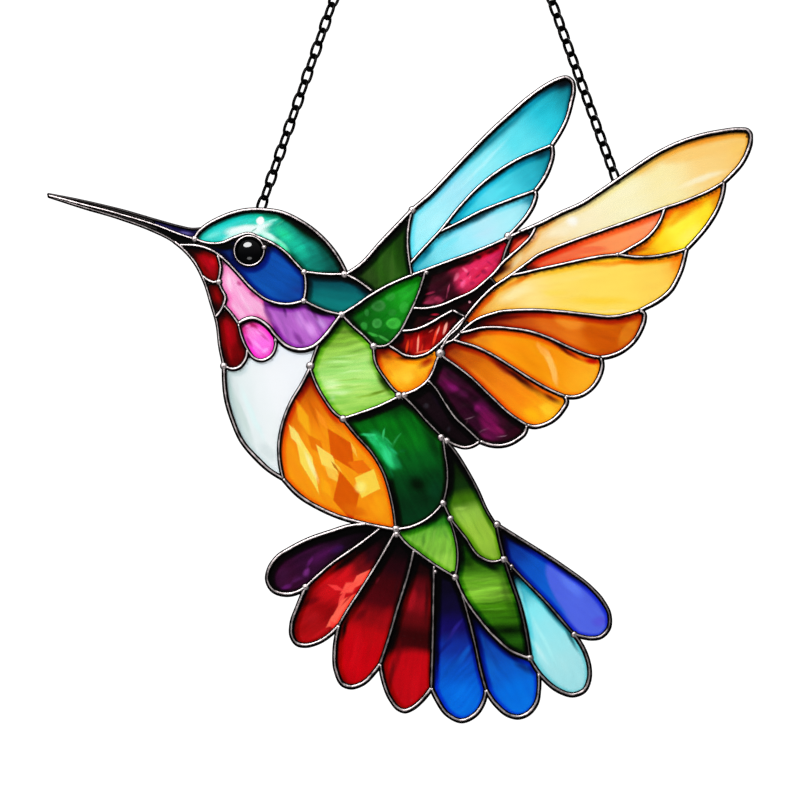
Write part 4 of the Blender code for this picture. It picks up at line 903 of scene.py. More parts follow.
# The throat and the gorget.
pane("throat_top", (62.9, 199.8), (71, 189.5), "#500404 #a4000e #ae0214 #8c0208", [
    (70.5, 195.9, 2.1, 2.5, 0, "#cc0a1a", 0.9, 0.8), (68, 192.1, 4.2, 1.3, -55, "#640204", 0.9, 0.6),
], turn=-60, grain=0.3, wisp=1)
pane("throat_middle", (68, 187.4), (73.1, 177.2),
    "#4c0202 #900208 #9c0208 #5c0204", turn=-60, grain=0.3, wisp=1)
pane("throat_low", (74.4, 173), (82, 153), "#6a0608 #a20410 #a4000e #7c0004 #620002", [
    (76.1, 166.6, 6.4, 2.1, -82, "#b80014", 0.9, 0.9), (81.6, 161.1, 8.5, 1.7, -78, "#5a0000", 0.9, 0.8),
    (77.3, 158.1, 6, 1.3, -80, "#a20810", 0.9, 0.7),
], turn=-80, grain=0.3, wisp=0.8)
pane("gorget", (75.6, 187.8), (91.4, 173), "#fcc4e4 #faaedc #f8b0dc #f4a8d4", [
    (77.3, 186.2, 7.6, 1.3, -80, "#ffd0ec", 0.8, 0.7), (81.6, 186.6, 1.7, 1.3, -40, "#cc5a98", 0.8, 0.8),
    (87.5, 181.9, 2.5, 1.3, -35, "#d488b4", 0.8, 0.7), (84.6, 175.9, 4.2, 2.1, -20, "#f0b0d6", 0.8, 0.5),
    (108.8, 177.7, 38.2, 16.1, -72, "#b462c6", 0.06, 1), (93.9, 173.4, 7.2, 1.9, -73, "#8c3a94", 0.8, 0.85),
    (97.8, 166.2, 6, 2.1, -66, "#9c44aa", 0.8, 0.7), (101.1, 174.2, 3.8, 1.1, -75, "#74308a", 0.8, 0.8),
    (107.5, 170.8, 6, 2.5, -72, "#cc86de", 0.8, 0.85), (111.8, 167, 5.5, 3, -60, "#de98ee", 0.9, 0.9),
    (116.5, 169.6, 4.2, 2.1, -50, "#c890de", 0.8, 0.85), (113.5, 173.8, 4.7, 1.4, -62, "#6c3078", 0.8, 0.8),
    (106.7, 163.2, 5.5, 1.7, -48, "#8a389c", 0.8, 0.95), (100.3, 161.9, 5.1, 1.7, -50, "#bc74ca", 0.8, 0.6),
    # The two dark strokes below are a painted shadow under the cheek's seam.
    (101.6, 177, 10.2, 2, -3, "#200a28", 0.7, 1), (115.2, 174.7, 8.5, 2, -21, "#280e30", 0.7, 1),
], turn=-60, grain=0.3, wisp=1)
pane("gorget_lobe", (84.1, 168.7), (93.1, 155.5), "#e878bc #ff88e2 #ff74e8 #f65cd0", [
    (87.1, 167.9, 3.4, 1.3, -35, "#c43a88", 0.8, 0.75), (91.8, 164, 4.2, 0.9, -35, "#d044a4", 0.7, 0.7),
    (89.2, 160.2, 3.8, 1.3, -50, "#ff9cf4", 0.8, 0.8), (85.8, 161.5, 3.8, 1.1, -62, "#cc389c", 0.7, 0.7),
    (92.6, 158.1, 3, 1.3, 30, "#ffa4f8", 0.8, 0.7), (85, 168.3, 1.7, 1.3, -30, "#ffb4e4", 0.8, 0.7),
    (89.7, 164.9, 2.5, 0.8, -20, "#ffa4f0", 0.8, 0.7),
], turn=-45, grain=0.45, wisp=1.5)

# The body.
pane("breast", (77.8, 136.8), (104.1, 143.2), "#dce8e8 #ecf5f6 #f4f9fb #f8fbfe #f8fbff", [
    (82.5, 130.5, 17.8, 2.1, -68, "#d2e4e0", 0.7, 0.8), (87.1, 130.9, 16.1, 1.7, -67, "#e6fafa", 0.6, 0.8),
    (93.5, 114.8, 6.8, 3.4, -55, "#dce8e8", 0.7, 0.7), (82, 148.3, 6, 2.1, 10, "#e4eeee", 0.8, 0.6),
    (95.6, 124.1, 5.1, 10.6, 0, "#f4fafa", 0.9, 0.5),
], turn=-68, grain=0.05, wisp=1.2, clear=0.8, edge=0.5)
pane("belly", (110.9, 146.2), (128.8, 85), "#a83800 #ea7606 #fb9c10 #fca010 #fb9c0e #fb9a0c", [
    (108.8, 129.2, 11.9, 3, -68, "#ffb418", -0.5, 0.9), (112.6, 132.6, 11, 1.3, -66, "#dc6c04", -0.6, 0.9),
    (116.9, 128.3, 7.6, 1.7, -60, "#ff9e20", -0.5, 0.9), (121.5, 129.2, 11, 1.7, -52, "#e0640c", 0.9, 0.7),
    (125, 115.6, 11.5, 5.5, -57, "#e26000", -0.12, 1), (114.3, 117.7, 6.8, 3, -52, "#ee7c06", -0.3, 0.95),
    (105, 108, 11.9, 2.1, -64, "#fc9e14", 0.7, 0.6), (110.1, 111.3, 17, 3, -69, "#ffe45c", -0.2, 1),
    (105.4, 121.5, 7.2, 2.1, -62, "#ffe878", -0.35, 0.95),
    (112.2, 108.8, 9.3, 1.4, -66, "#fff7a8", 0.8, 0.95), (119, 111.3, 8.9, 3.2, -54, "#ffe062", -0.2, 1),
    (121.1, 105.4, 6, 2.5, -50, "#ffcc4c", -0.35, 0.95),
    (122.4, 108.4, 3.8, 0.8, -54, "#c8780c", -0.5, 0.95), (123.7, 108, 3.8, 0.7, -54, "#ffcc48", -0.5, 0.9),
    (118.6, 99.9, 6.4, 3, -62, "#ffaf12", -0.5, 0.9), (127.1, 95.6, 11.9, 6, -76, "#e06000", -0.1, 1),
    (130.5, 89.7, 7.6, 3.4, -20, "#e87004", 0.7, 0.9), (133, 108.4, 6, 3.4, -20, "#f47808", -0.15, 1),
    (130.5, 115.6, 5.1, 1, -66, "#ffc246", -0.5, 0.95), (136.2, 101.4, 7.2, 6.4, 67, "#ffdc4c", -0.14, 1),
    (133.4, 99.9, 3.4, 3.4, 0, "#fff07c", 0.7, 0.9), (140.7, 91.4, 4.7, 6.4, 0, "#ffa610", 0.6, 0.9),
], turn=-60, grain=0.12, wisp=0.3, clear=0.8)
pane("shoulder", (122.4, 168.7), (133, 131.8), "#5a8c20 #84ba38 #9cd258 #aee47a #b2e87a #a8dc64 #a2d85c", [
    (127.9, 165.8, 10.2, 2.5, -5, "#648e2a", 0.9, 0.85), (129.6, 161.1, 8.5, 0.8, 10, "#7cac38", 0.8, 0.85),
    (123.7, 160.2, 6.8, 0.7, 12, "#94c44c", 0.8, 0.7), (133, 158.1, 7.6, 0.8, 8, "#86b848", 0.8, 0.6),
    (126.6, 155.5, 8.5, 0.7, 8, "#c0ee90", 0.8, 0.7), (124.5, 153, 10.2, 1.3, 4, "#c8f49c", 0.9, 0.7),
    (129.6, 148.8, 8.5, 0.8, 6, "#d0f8a8", 0.8, 0.6), (121.1, 143.7, 6, 3, 0, "#ccf6a4", 0.9, 0.85),
    (124.5, 140.2, 6.8, 1.7, 4, "#d4f8b0", 0.9, 0.6), (128.8, 145.3, 9.3, 0.6, 3, "#94c84c", 0.8, 0.65),
    (131.3, 142.4, 7.6, 0.7, 4, "#98cc50", 0.8, 0.65), (125.8, 142.8, 5.1, 0.6, 3, "#84b840", 0.7, 0.55),
    (123.7, 150.9, 6, 0.5, 5, "#8cc048", 0.8, 0.5), (139, 153, 5.1, 3.8, -60, "#86b444", 0.9, 0.6),
    # The dark stroke at 143.2, 143.7 is painted shade along the seam on the right.
    (143.2, 143.7, 8.5, 2.5, -56, "#4c700a", 0.9, 0.95), (140.7, 140.2, 6.4, 1.1, 14, "#688e0a", 0.8, 0.9),
    (135.6, 138.5, 6.8, 0.8, 8, "#82b01e", 0.8, 0.65), (126.6, 135.2, 8.5, 1.3, 8, "#a8dc60", 0.8, 0.6),
    (121.1, 137.3, 3, 1.7, 60, "#c0e09c", 0.8, 0.7),
], turn=6, grain=0.4, wisp=1.2)
pane("back", (143.7, 134.7), (152.2, 85), "#012404 #026410 #046c14 #035818 #023c14 #022c10 #023416", [
    # The first stroke below is a painted shadow under the seam above.
    (138.1, 131.3, 11.9, 2.5, 20, "#011204", 0.9, 0.95), (146.6, 126.6, 8.5, 3, 0, "#046c10", 0.9, 0.7),
    (142.8, 115.6, 11, 4.7, -56, "#16b45c", 0.5, 0.95), (144.9, 112.6, 6.4, 3.4, -62, "#30d484", 0.8, 0.9),
    (139, 119.4, 5.5, 2.1, -40, "#22c070", 0.6, 0.85), (136.4, 122, 4.2, 1, -4, "#34cc80", 0.6, 0.85),
    (141.5, 119.4, 3, 2.1, 40, "#109c48", 0.8, 0.7), (143.2, 122, 3.4, 0.7, 78, "#34b868", 0.6, 0.85),
    (144.9, 119.4, 3.4, 0.6, -50, "#2cb468", 0.6, 0.6), (148.3, 119.8, 5.1, 0.6, 58, "#2a9c50", 0.7, 0.75),
    (146.6, 115.2, 3.4, 1, -30, "#24c078", 0.6, 0.7), (148.3, 110.5, 4.2, 2.1, -60, "#128c4c", 0.8, 0.8),
    (144.5, 106.7, 5.1, 2.1, -66, "#10a058", 0.8, 0.8), (150.9, 115.2, 2.5, 0.8, 0, "#0c7034", 0.7, 0.6),
    (164, 118.1, 15.3, 4.2, -64, "#012c08", 0.9, 0.85), (157.7, 101.1, 6.8, 5.1, 0, "#001402", 0.9, 0.95),
    (164.9, 98.6, 6.8, 4.2, 80, "#033a1e", 0.9, 0.6),
], turn=-60, grain=0.35, wisp=1.4)
pane("scapular", (129.6, 166.6), (155.1, 185.7), "#08380a #0a6410 #0c7c14 #149018 #1c9c20", [
    (152.2, 181.9, 4.7, 3.8, 40, "#20a428", 0.8, 0.9), (131.3, 176.8, 11, 2.1, 28, "#053808", 0.9, 0.85),
    (129.6, 170.8, 3.4, 3.4, 0, "#0a3a0c", 0.9, 0.8), (140.7, 177.2, 3.4, 3, 0, "#3c8a40", 0.35, 0.85),
    (140.7, 177.2, 2.1, 1.9, 0, "#1c7420", 0.6, 0.7), (145.8, 181, 2.8, 2.3, 0, "#2f9834", 0.4, 0.8),
    (140.2, 169.6, 2.5, 2.5, 0, "#3ea044", 0.3, 0.85), (140.2, 169.6, 1.5, 1.5, 0, "#288430", 0.5, 0.7),
    (147.3, 169.6, 3.6, 2.8, 5, "#3ebc3e", 0.3, 0.9), (146.4, 169.6, 1.9, 1.6, 0, "#2ea230", 0.5, 0.7),
    (151.7, 176.4, 2.5, 3, -30, "#2ea834", 0.4, 0.8), (136, 174.2, 1.1, 2.1, 0, "#2f8c38", 0.4, 0.8),
    (134.7, 168.3, 1.7, 2.1, 0, "#2f9838", 0.4, 0.8), (146.6, 174.2, 2.1, 1.7, 0, "#25882b", 0.4, 0.8),
    (138.5, 164.9, 3, 0.8, -20, "#3cac40", 0.5, 0.8), (143.2, 163.2, 3.4, 0.8, -28, "#4ab84c", 0.5, 0.8),
], face=seedy, turn=40, grain=0.3, wisp=0.8)

# The far wing, raised behind the near one, and the pane at the near wing's root.
pane("wing_forest", (132.2, 191.2), (152.2, 200.6), "#203c10 #2a4c16 #24540e #2c5c16 #1c4a08 #184008", [
    (146.6, 192.1, 11, 1.3, 88, "#3c6c20", 0.8, 0.6), (141.1, 188.7, 7.6, 0.8, 86, "#305c18", 0.8, 0.5),
    (150.9, 205.7, 7.6, 3.8, 55, "#163808", 0.8, 0.6), (137.3, 185.7, 6.8, 2.1, 30, "#1a3c0c", 0.8, 0.6),
], turn=88, grain=0.25, wisp=1)
pane("wing_ice", (156.4, 198.5), (222.3, 269.4),
    "#9cf0fa #a8f0fa #a4e8f6 #90ecf6 #62e0ee #28c8dc #0c7c8c", [
    # The long dark stroke at 193.4, 250.8 is painted shade below the wing's upper edge.
    (219.3, 271.1, 6, 3.8, 35, "#063c4a", 0.9, 0.95), (193.4, 250.8, 35.7, 2.5, 41, "#1a8496", 0.9, 0.6),
    (162.8, 224, 8.5, 2.1, 45, "#3ca4b4", 0.9, 0.6), (184.9, 236.7, 19.6, 1.3, 46, "#bcf6fc", 0.8, 0.5),
    (199.3, 246.5, 8.5, 3.8, 60, "#58e0ee", 0.8, 0.5), (211.7, 260.9, 8.5, 3, 40, "#1ab4c8", 0.8, 0.6),
    (165.3, 213.3, 6.8, 2.5, 50, "#b8f4fc", 0.8, 0.5),
], turn=44, grain=0.08, wisp=1.5)
pane("wing_aqua", (171.3, 213.3), (212.1, 239.7), "#2cc0d2 #44d4e8 #5cdef0 #44d2e4 #2cb8cc #1090a2", [
    (191.2, 233.3, 20.4, 2.5, 37, "#08525f", 0.9, 0.85), (192.5, 225.7, 7.6, 2.1, 30, "#58e2f2", 0.8, 0.6),
    (210.4, 240.5, 3.8, 2.5, 40, "#0a7888", 0.9, 0.8), (179.8, 218.9, 6, 2.1, 40, "#34c4d6", 0.8, 0.5),
], turn=38, grain=0.08, wisp=1.5)
pane("wing_sky", (157.7, 195.5), (206.1, 219.7), "#58c8d8 #84e4f2 #a0ecfa #b4ecf8 #aaeef8 #8cdcea", [
    (181.9, 214.6, 26.3, 2.5, 30, "#0c6474", 0.9, 0.8), (205.3, 221.4, 5.5, 3, 30, "#2c94a8", 0.9, 0.75),
    (161.1, 199.3, 6.4, 2.5, 45, "#2ca4b8", 0.9, 0.8), (171.3, 203.6, 6.8, 2.1, 35, "#78e6f6", 0.8, 0.7),
    (186.2, 208.2, 6.8, 2.5, 25, "#b6e8f8", 0.8, 0.6),
], turn=28, grain=0.08, wisp=1.5)

# The coverts of the near wing.
pane("ruby_upper", (158.5, 183.6), (192.5, 200.6),
    "#22040c #38081a #44091c #b82048 #dc2656 #d42256 #b41a46", [
    (181.9, 191.2, 12.3, 5.5, 38, "#e62c62", 0.5, 0.9), (178.1, 187.4, 3.8, 2.5, 30, "#f84078", 0.8, 0.85),
    (176.8, 186.2, 2.5, 1.7, 80, "#ff5c92", 0.8, 0.9), (173.8, 189.1, 2.5, 1.3, 62, "#e06486", 0.8, 0.85),
    (177.7, 192.1, 2.1, 1, -42, "#ff7096", 0.8, 0.9), (185.7, 197.6, 3, 2.1, 20, "#ee2a60", 0.8, 0.85),
    (183.2, 197.6, 1.9, 1.4, 20, "#720a20", 0.8, 0.85), (188.7, 199.8, 3, 1.1, 22, "#84122a", 0.8, 0.85),
    (190.8, 201.4, 2.1, 1.3, 0, "#640c20", 0.8, 0.8), (193.4, 201.9, 2.1, 1.3, 50, "#cc2c50", 0.8, 0.8),
    (192.1, 195.5, 1.7, 2.5, 40, "#9c1c3e", 0.8, 0.75), (189.1, 194.2, 2.1, 0.8, -40, "#c01c4c", 0.7, 0.7),
    (185.7, 191.2, 2.1, 1.4, 0, "#ac164a", 0.7, 0.75), (183.2, 189.5, 2.1, 0.7, 40, "#b41c4c", 0.7, 0.7),
    (181, 186.2, 1.7, 1.3, 0, "#b0184a", 0.7, 0.8), (183.2, 186.6, 2.1, 0.6, 30, "#c02050", 0.7, 0.6),
    (179.8, 195.5, 2.5, 0.8, 30, "#8c1236", 0.7, 0.8), (178.9, 190.4, 1.7, 0.7, 60, "#ac1a4c", 0.7, 0.8),
    (175.9, 187.4, 1.3, 0.8, 0, "#a41a48", 0.7, 0.7), (187.4, 195.5, 1.7, 0.7, -30, "#b81850", 0.7, 0.7),
    (186.6, 192.9, 1.3, 0.6, 20, "#ff5a88", 0.7, 0.7), (182.3, 192.9, 1.3, 0.6, -20, "#f85084", 0.7, 0.7),
    (179.8, 188.7, 1.3, 0.5, 70, "#ff6a94", 0.7, 0.7), (172.1, 193.8, 19.6, 2.5, 21, "#22040c", 0.8, 0.95),
    (165.3, 188.7, 9.3, 5.1, 10, "#26060e", 0.8, 0.9), (164, 179.3, 5.5, 2.5, 15, "#84203c", 0.7, 0.85),
    (162.8, 182.3, 3, 0.8, 20, "#a42a4c", 0.6, 0.7), (161.9, 178.1, 3.4, 1, 10, "#98284a", 0.6, 0.7),
    (166.2, 179.8, 2.5, 1.3, 0, "#b43458", 0.6, 0.6), (170.4, 183.2, 3.8, 0.5, 82, "#b44468", 0.5, 0.8),
    (167, 178.5, 3, 0.6, 30, "#a83458", 0.5, 0.6), (171.7, 181.5, 2.5, 3.8, 70, "#2a050e", 0.8, 0.85),
], face=seedy, turn=40, grain=0.55, wisp=1)
pane("ruby_band", (153.4, 168.7), (194.7, 192.1), "#1c0a06 #24020a #28040c #2c040e #3c0a12 #4a0c10", [
    (164.9, 173, 2.5, 0.7, 4, "#c83c5c", 0.6, 0.8), (163.6, 171.3, 2.1, 0.4, 10, "#8a2038", 0.6, 0.7),
    (179.8, 178.5, 0.7, 0.7, 0, "#e4b0bc", 0.5, 0.9), (158.5, 168.3, 4.2, 0.6, 15, "#5c1020", 0.7, 0.7),
    (172.1, 177.2, 6, 1, 22, "#4a1422", 0.8, 0.6), (183.2, 183.6, 6.4, 1.3, 45, "#44101c", 0.8, 0.7),
], turn=25, grain=0.3, wisp=1)
pane("ruby_lower", (150, 161.5), (176.4, 170), "#5c0406 #b00c0c #b80e0c #900404 #9c0808 #5c0612 #30040c", [
    (162.8, 168.7, 11, 1.3, 24, "#2a0204", 0.8, 0.85), (150, 163.2, 2.5, 3, 0, "#3a0204", 0.8, 0.9),
    (153, 159.4, 3.8, 0.8, 80, "#ff5420", 0.6, 0.8), (154.7, 160.2, 3.4, 1, 82, "#d81c10", 0.7, 0.8),
    (157.7, 160.7, 5.1, 0.6, 83, "#ff9c84", 0.5, 0.95), (159.4, 158.9, 2.5, 0.6, 75, "#e43820", 0.6, 0.7),
    (161.5, 162.3, 3.8, 2.5, 80, "#820204", 0.7, 0.8), (164.9, 163.6, 5.1, 0.8, 76, "#ff4a2c", 0.6, 0.9),
    (166.2, 166.6, 3, 0.5, 72, "#ffa090", 0.6, 0.8), (169.2, 167.4, 3.4, 0.8, 72, "#ffb8a8", 0.5, 0.95),
    (163.2, 166.2, 1.7, 0.5, 35, "#e88878", 0.6, 0.7), (173.4, 168.3, 3.8, 2.5, 45, "#34040e", 0.7, 0.95),
    (161.1, 157.7, 6, 0.5, 12, "#ff8460", 0.5, 0.8),
], turn=80, grain=0.4, wisp=0.6)
pane("garnet", (193.4, 195.5), (205.3, 208.2), "#80300e #a43c18 #c04c24 #9c2c12 #741c0a", [
    (200.6, 203.2, 7.6, 1.3, 42, "#f48068", 0.7, 1), (199.3, 206.1, 5.1, 1, 34, "#6c1208", 0.8, 0.8),
], turn=38, grain=0.4, wisp=0.6)

# The feathers of the near wing, from the longest down.
pane("feather_cream", (194.7, 192.9), (296.6, 247.3),
    "#f4c070 #fbdca0 #fcf0c8 #fbf4c8 #fbeeb4 #fcd888 #fccc6c", [
    (277.5, 244.8, 24.6, 6.8, 15, "#fcd27a", 0.4, 0.95), (256.3, 236.3, 10.2, 4.2, 32, "#fbda8c", 0.7, 0.7),
    (279.6, 247.3, 14.4, 3, 12, "#fcc668", 0.8, 0.8), (293.7, 243.9, 5.1, 6, 60, "#fcd06c", 0.8, 0.6),
    (278.4, 230.8, 14.4, 2.1, 18, "#fdf2cc", 0.8, 0.85), (243.5, 225.2, 18.7, 5.1, 27, "#fdf6cc", 0.8, 0.6),
    (223.5, 212.5, 3.8, 3.4, 0, "#fffffa", 0.9, 0.85), (218, 208.2, 9.3, 3.4, 20, "#fef2d0", 0.8, 0.7),
    (212.1, 211.2, 7.6, 1.7, 28, "#f4bc74", 0.8, 0.85), (205.3, 205.7, 6.8, 1.3, 40, "#e0a068", 0.8, 0.8),
    (209.5, 212.5, 8.5, 1, 26, "#a8602c", 0.8, 0.7), (205.7, 204.8, 6, 1.7, 42, "#f4c890", 0.8, 0.9),
    (207, 206.5, 3.8, 1.3, 48, "#ffe0c8", 0.8, 0.9), (195.9, 192.9, 6.8, 1.7, 48, "#a86c38", 0.8, 0.75),
    (200.2, 197.2, 6, 2.1, 46, "#f8e6bc", 0.8, 0.9), (192.1, 191.2, 6.4, 2.1, 44, "#58181a", 0.8, 0.95),
], turn=22, grain=0.06, wisp=1.8, clear=0.85, edge=0.7)
pane("feather_coral", (201, 192.1), (259.7, 216.8),
    "#c8684a #f06c44 #f47448 #fa8c54 #fc985a #fc9860 #fc9c70", [
    (229.9, 200.6, 10.2, 2.1, 6, "#f46a40", 0.5, 0.8), (218, 196.8, 12.8, 1.7, 12, "#f0683e", 0.8, 0.7),
    (245.7, 207.8, 11, 2.5, 25, "#ff965a", 0.8, 0.6), (204, 191.7, 6.8, 1.7, 25, "#6c1808", 0.9, 0.9),
    (235, 206.5, 17, 1.3, 18, "#ffa066", 0.8, 0.5), (258.8, 216.8, 2.5, 2.5, 0, "#ffa48c", 0.9, 0.8),
], turn=18, grain=0.1, wisp=1.2)
pane("feather_yellow", (247.8, 198.9), (284.3, 223.5),
    "#e89810 #f8b010 #ffdc24 #fff240 #fff03c #ffdc28 #f4b01c", [
    (269.9, 220.2, 10.2, 3, 20, "#f08408", 0.8, 0.95), (277.5, 219.7, 5.1, 2.5, 20, "#f8a80c", 0.8, 0.8),
    (263.9, 215.9, 5.1, 3, 40, "#f88e04", 0.8, 0.9), (260.5, 209.9, 6, 2.5, 60, "#fcae0e", 0.8, 0.8),
    (273.3, 207.4, 8.5, 3.8, 42, "#fff060", 0.9, 0.8), (270.7, 216.8, 11.9, 3.8, 28, "#f69a08", 0.9, 0.95),
    (265.6, 212.5, 6, 2.5, 40, "#f9ac08", 0.9, 0.8), (280.1, 216.8, 6, 3, 60, "#ffe82c", 0.8, 0.7),
    (252, 200.6, 6, 1.3, 10, "#cc7c08", 0.8, 0.7), (284.3, 222.7, 4.2, 1.7, 68, "#eca41c", 0.8, 0.8),
], turn=40, grain=0.08, wisp=1.2)
pane("feather_amber", (179.8, 177.2), (270.7, 195.5),
    "#e88c20 #f8c860 #fde088 #fcdc68 #fcdc60 #fddc5e #fcd458 #fcb434", [
    (187, 179.3, 9.3, 2.5, 50, "#ea881c", 0.8, 0.9), (201, 187.4, 10.2, 1.7, 26, "#f4a02c", 0.8, 0.85),
    (245.7, 195.1, 26.3, 1.7, 3, "#fca21a", 0.9, 0.9), (267.8, 194.7, 4.2, 3.8, 60, "#fa9c1e", 0.8, 0.9),
    (199.3, 181.9, 11, 3.4, 22, "#fdeaa8", 0.8, 0.9), (235, 178.9, 22.9, 3, 0, "#fdd436", 0.9, 0.8),
    (262.6, 184.4, 7.6, 2.5, 40, "#fdd85c", 0.8, 0.6), (239.3, 174.2, 26.3, 1, -1, "#fde48c", 0.8, 0.8),
    (223.1, 188.3, 14.4, 2.1, 10, "#fbe27c", 0.8, 0.5), (215.9, 182.8, 8.5, 1.7, -5, "#fbdc54", 0.8, 0.6),
], turn=10, grain=0.06, wisp=1.8)
pane("feather_rust", (179.8, 168.7), (254.2, 166.6),
    "#3c0c06 #8c280c #c04a10 #dc6410 #e47414 #d86400 #cc5800 #d46808", [
    (192.5, 171.3, 13.6, 1.7, 4, "#7c1c0a", 0.9, 0.85), (201, 168.3, 11, 1.3, -6, "#c8480e", 0.8, 0.6),
    (222.3, 170, 9.3, 3.4, -18, "#f09026", 0.5, 0.9), (212.9, 167.4, 7.6, 2.1, -20, "#e4741a", 0.7, 0.7),
    (235, 163.2, 11, 5.5, -30, "#ca5200", 0.5, 0.75), (246.9, 165.3, 7.6, 3.4, 60, "#e07c12", 0.5, 0.85),
    (236.7, 157.7, 6, 1.7, 0, "#be4c00", 0.8, 0.6), (230.8, 172.1, 17, 1.3, -6, "#9c3c08", 0.9, 0.7),
], turn=-18, grain=0.15, wisp=1.6)
pane("feather_orange", (174.7, 162.3), (235, 146.2),
    "#a83c0c #e88c18 #fa9c10 #f69808 #f49608 #f89c0c #fba81a #f8b024", [
    (179.8, 163.6, 6.8, 2.1, 22, "#b03c0e", 0.9, 0.85), (192.5, 159.8, 10.2, 3.4, -8, "#fc9e0c", 0.8, 0.6),
    (214.2, 150.9, 10.2, 1.9, -70, "#ffc05c", 0.45, 0.95),
    (210.4, 158.1, 5.1, 1.3, -62, "#ffb244", 0.6, 0.8), (231.6, 153, 5.5, 2.1, -8, "#dc340a", 0.8, 0.95),
    (223.1, 156.4, 7.6, 1.7, -34, "#e8680e", 0.8, 0.8), (227.4, 145.3, 6.8, 4.2, 0, "#fcae1e", 0.8, 0.6),
    (218, 159.4, 14.4, 1.5, -34, "#6c2006", 0.9, 0.85), (205.3, 153, 8.5, 2.5, -40, "#ee8c04", 0.8, 0.6),
], turn=-35, grain=0.12, wisp=1.6)
pane("feather_tangerine", (170.4, 157.2), (218, 131.8),
    "#ac4408 #cc5e08 #e07608 #f08410 #f8900e #fca410 #fcb81c", [
    (172.5, 157.7, 3.8, 2.5, 0, "#a03a0c", 0.9, 0.8), (181.9, 154.7, 9.3, 2.5, -24, "#c85c06", 0.9, 0.7),
    (200.2, 146.6, 19.6, 2.5, -36, "#560c06", 0.9, 0.95),
    (193.4, 150.4, 9.3, 2.1, -36, "#a42c10", 0.8, 0.7), (214.6, 137.7, 6.8, 1.7, -30, "#74180a", 0.9, 0.9),
    (212.9, 132.6, 5.1, 3.8, -40, "#ffcc28", 0.7, 0.9), (206.1, 130.5, 5.5, 3.4, -30, "#ffb60c", 0.8, 0.8),
    (191.7, 139.4, 11, 3.4, -38, "#f68c10", 0.8, 0.6), (184, 146.2, 9.3, 1.7, -40, "#f88c1c", 0.8, 0.6),
], turn=-38, grain=0.12, wisp=1.6)
pane("amber_drop", (141.5, 157.2), (153.4, 140.2), "#a03c08 #ec860c #fcac18 #ffc42a #fdb41c #f8980c", [
    (155.1, 155.1, 10.2, 1.7, 4, "#4c1404", 0.9, 0.9), (161.1, 152.6, 5.5, 2.1, 30, "#c03c0a", 0.8, 0.9),
    (144.1, 155.5, 4.2, 2.1, -10, "#983808", 0.9, 0.8), (153, 146.6, 4.2, 3.4, 0, "#ffd038", 0.9, 0.9),
    (163.2, 148.8, 3.8, 1.7, 60, "#e0640c", 0.8, 0.8), (145.8, 148.8, 3.4, 1.7, -50, "#f49a14", 0.8, 0.6),
], turn=-50, grain=0.12, wisp=1.4)
pane("feather_plum", (167, 153), (198.9, 119.8),
    "#1a0612 #300a22 #30061f #28041a #2c061e #36081f #26040f", [
    (170.4, 143.2, 6.8, 4.2, -20, "#680a48", 0.8, 0.95), (172.1, 142.4, 3.8, 2.5, -20, "#7a1260", 0.8, 0.9),
    (176.4, 139.4, 3.8, 2.5, -50, "#4c0e3a", 0.8, 0.8), (167.9, 147.5, 3.8, 3, 0, "#520c36", 0.8, 0.8),
    (184.9, 133.4, 5.1, 3.8, -30, "#640c4a", 0.8, 0.95), (183.2, 133, 2.1, 2.1, 0, "#78125a", 0.8, 0.8),
    (188.3, 126.6, 8.5, 4.7, -62, "#740c4c", 0.7, 0.95),
    (191.7, 124.1, 3.8, 2.1, -30, "#7c124e", 0.8, 0.75), (187.8, 121.1, 5.5, 3, -10, "#680f48", 0.8, 0.9),
    (179.8, 129.2, 3, 0.4, 15, "#6c505e", 0.8, 0.7), (178.1, 127.1, 2.1, 0.4, 60, "#64484f", 0.8, 0.6),
    (192.9, 121.5, 3, 0.4, 12, "#946880", 0.8, 0.7), (185.7, 124.1, 3.4, 0.4, 20, "#90607c", 0.8, 0.6),
    (181.5, 122.4, 2.1, 0.3, -50, "#806070", 0.8, 0.6), (178.1, 135.6, 5.1, 2.5, -40, "#240416", 0.8, 0.8),
    (196.8, 126.2, 3.4, 4.2, -40, "#1c0610", 0.8, 0.8),
], face=seedy, turn=-40, grain=0.5, wisp=1.6)
pane("feather_violet", (155.1, 143.2), (179.8, 117.7), "#0c0406 #12060c #14060e #0e0408 #12060c", [
    (160.7, 134.3, 1.7, 1.5, 0, "#302c34", 0.8, 0.6), (170.8, 124.1, 1.3, 1.7, 0, "#2c2832", 0.8, 0.5),
    (167, 136, 6, 2.1, -50, "#1c0c24", 0.8, 0.7),
], turn=-50, grain=0.4, wisp=1.6)

# Between the body and the tail.
pane("leaf", (161.9, 88.4), (165.3, 63.8), "#0c3c06 #2c801a #68b034 #7cbc3c #7cba3c #8cc844 #94cc4a", [
    (160.7, 85, 12.8, 2.1, 18, "#0c4408", 0.9, 0.95), (160.2, 77.3, 3.8, 1.1, 88, "#4c9028", 0.8, 0.6),
    (167.9, 68.8, 5.1, 4.2, 0, "#98d04c", 0.8, 0.6), (152.6, 78.6, 4.2, 1.3, -30, "#90cc54", 0.8, 0.7),
    (169.6, 79.5, 5.1, 1.3, -70, "#5c9c34", 0.8, 0.6), (164.5, 79, 4.2, 0.8, 80, "#8cc850", 0.8, 0.5),
], turn=80, grain=0.25, wisp=1.6)
pane("rump", (176.4, 113.5), (186.6, 70.5),
    "#080c04 #0a1e02 #0c2c06 #3e7008 #8ebc42 #95c03c #96c23c #8ab636", [
    (188.3, 84.1, 13.6, 1.4, -62, "#6c9c28", 0.8, 0.7), (179.8, 86.7, 5.1, 3.8, -60, "#9ccc44", 0.8, 0.45),
    (175.9, 90.5, 4.2, 1.3, 10, "#a4ce58", 0.8, 0.5), (183.2, 81.6, 9.3, 0.8, -62, "#86b834", 0.8, 0.5),
], turn=-62, grain=0.15, wisp=1.2)
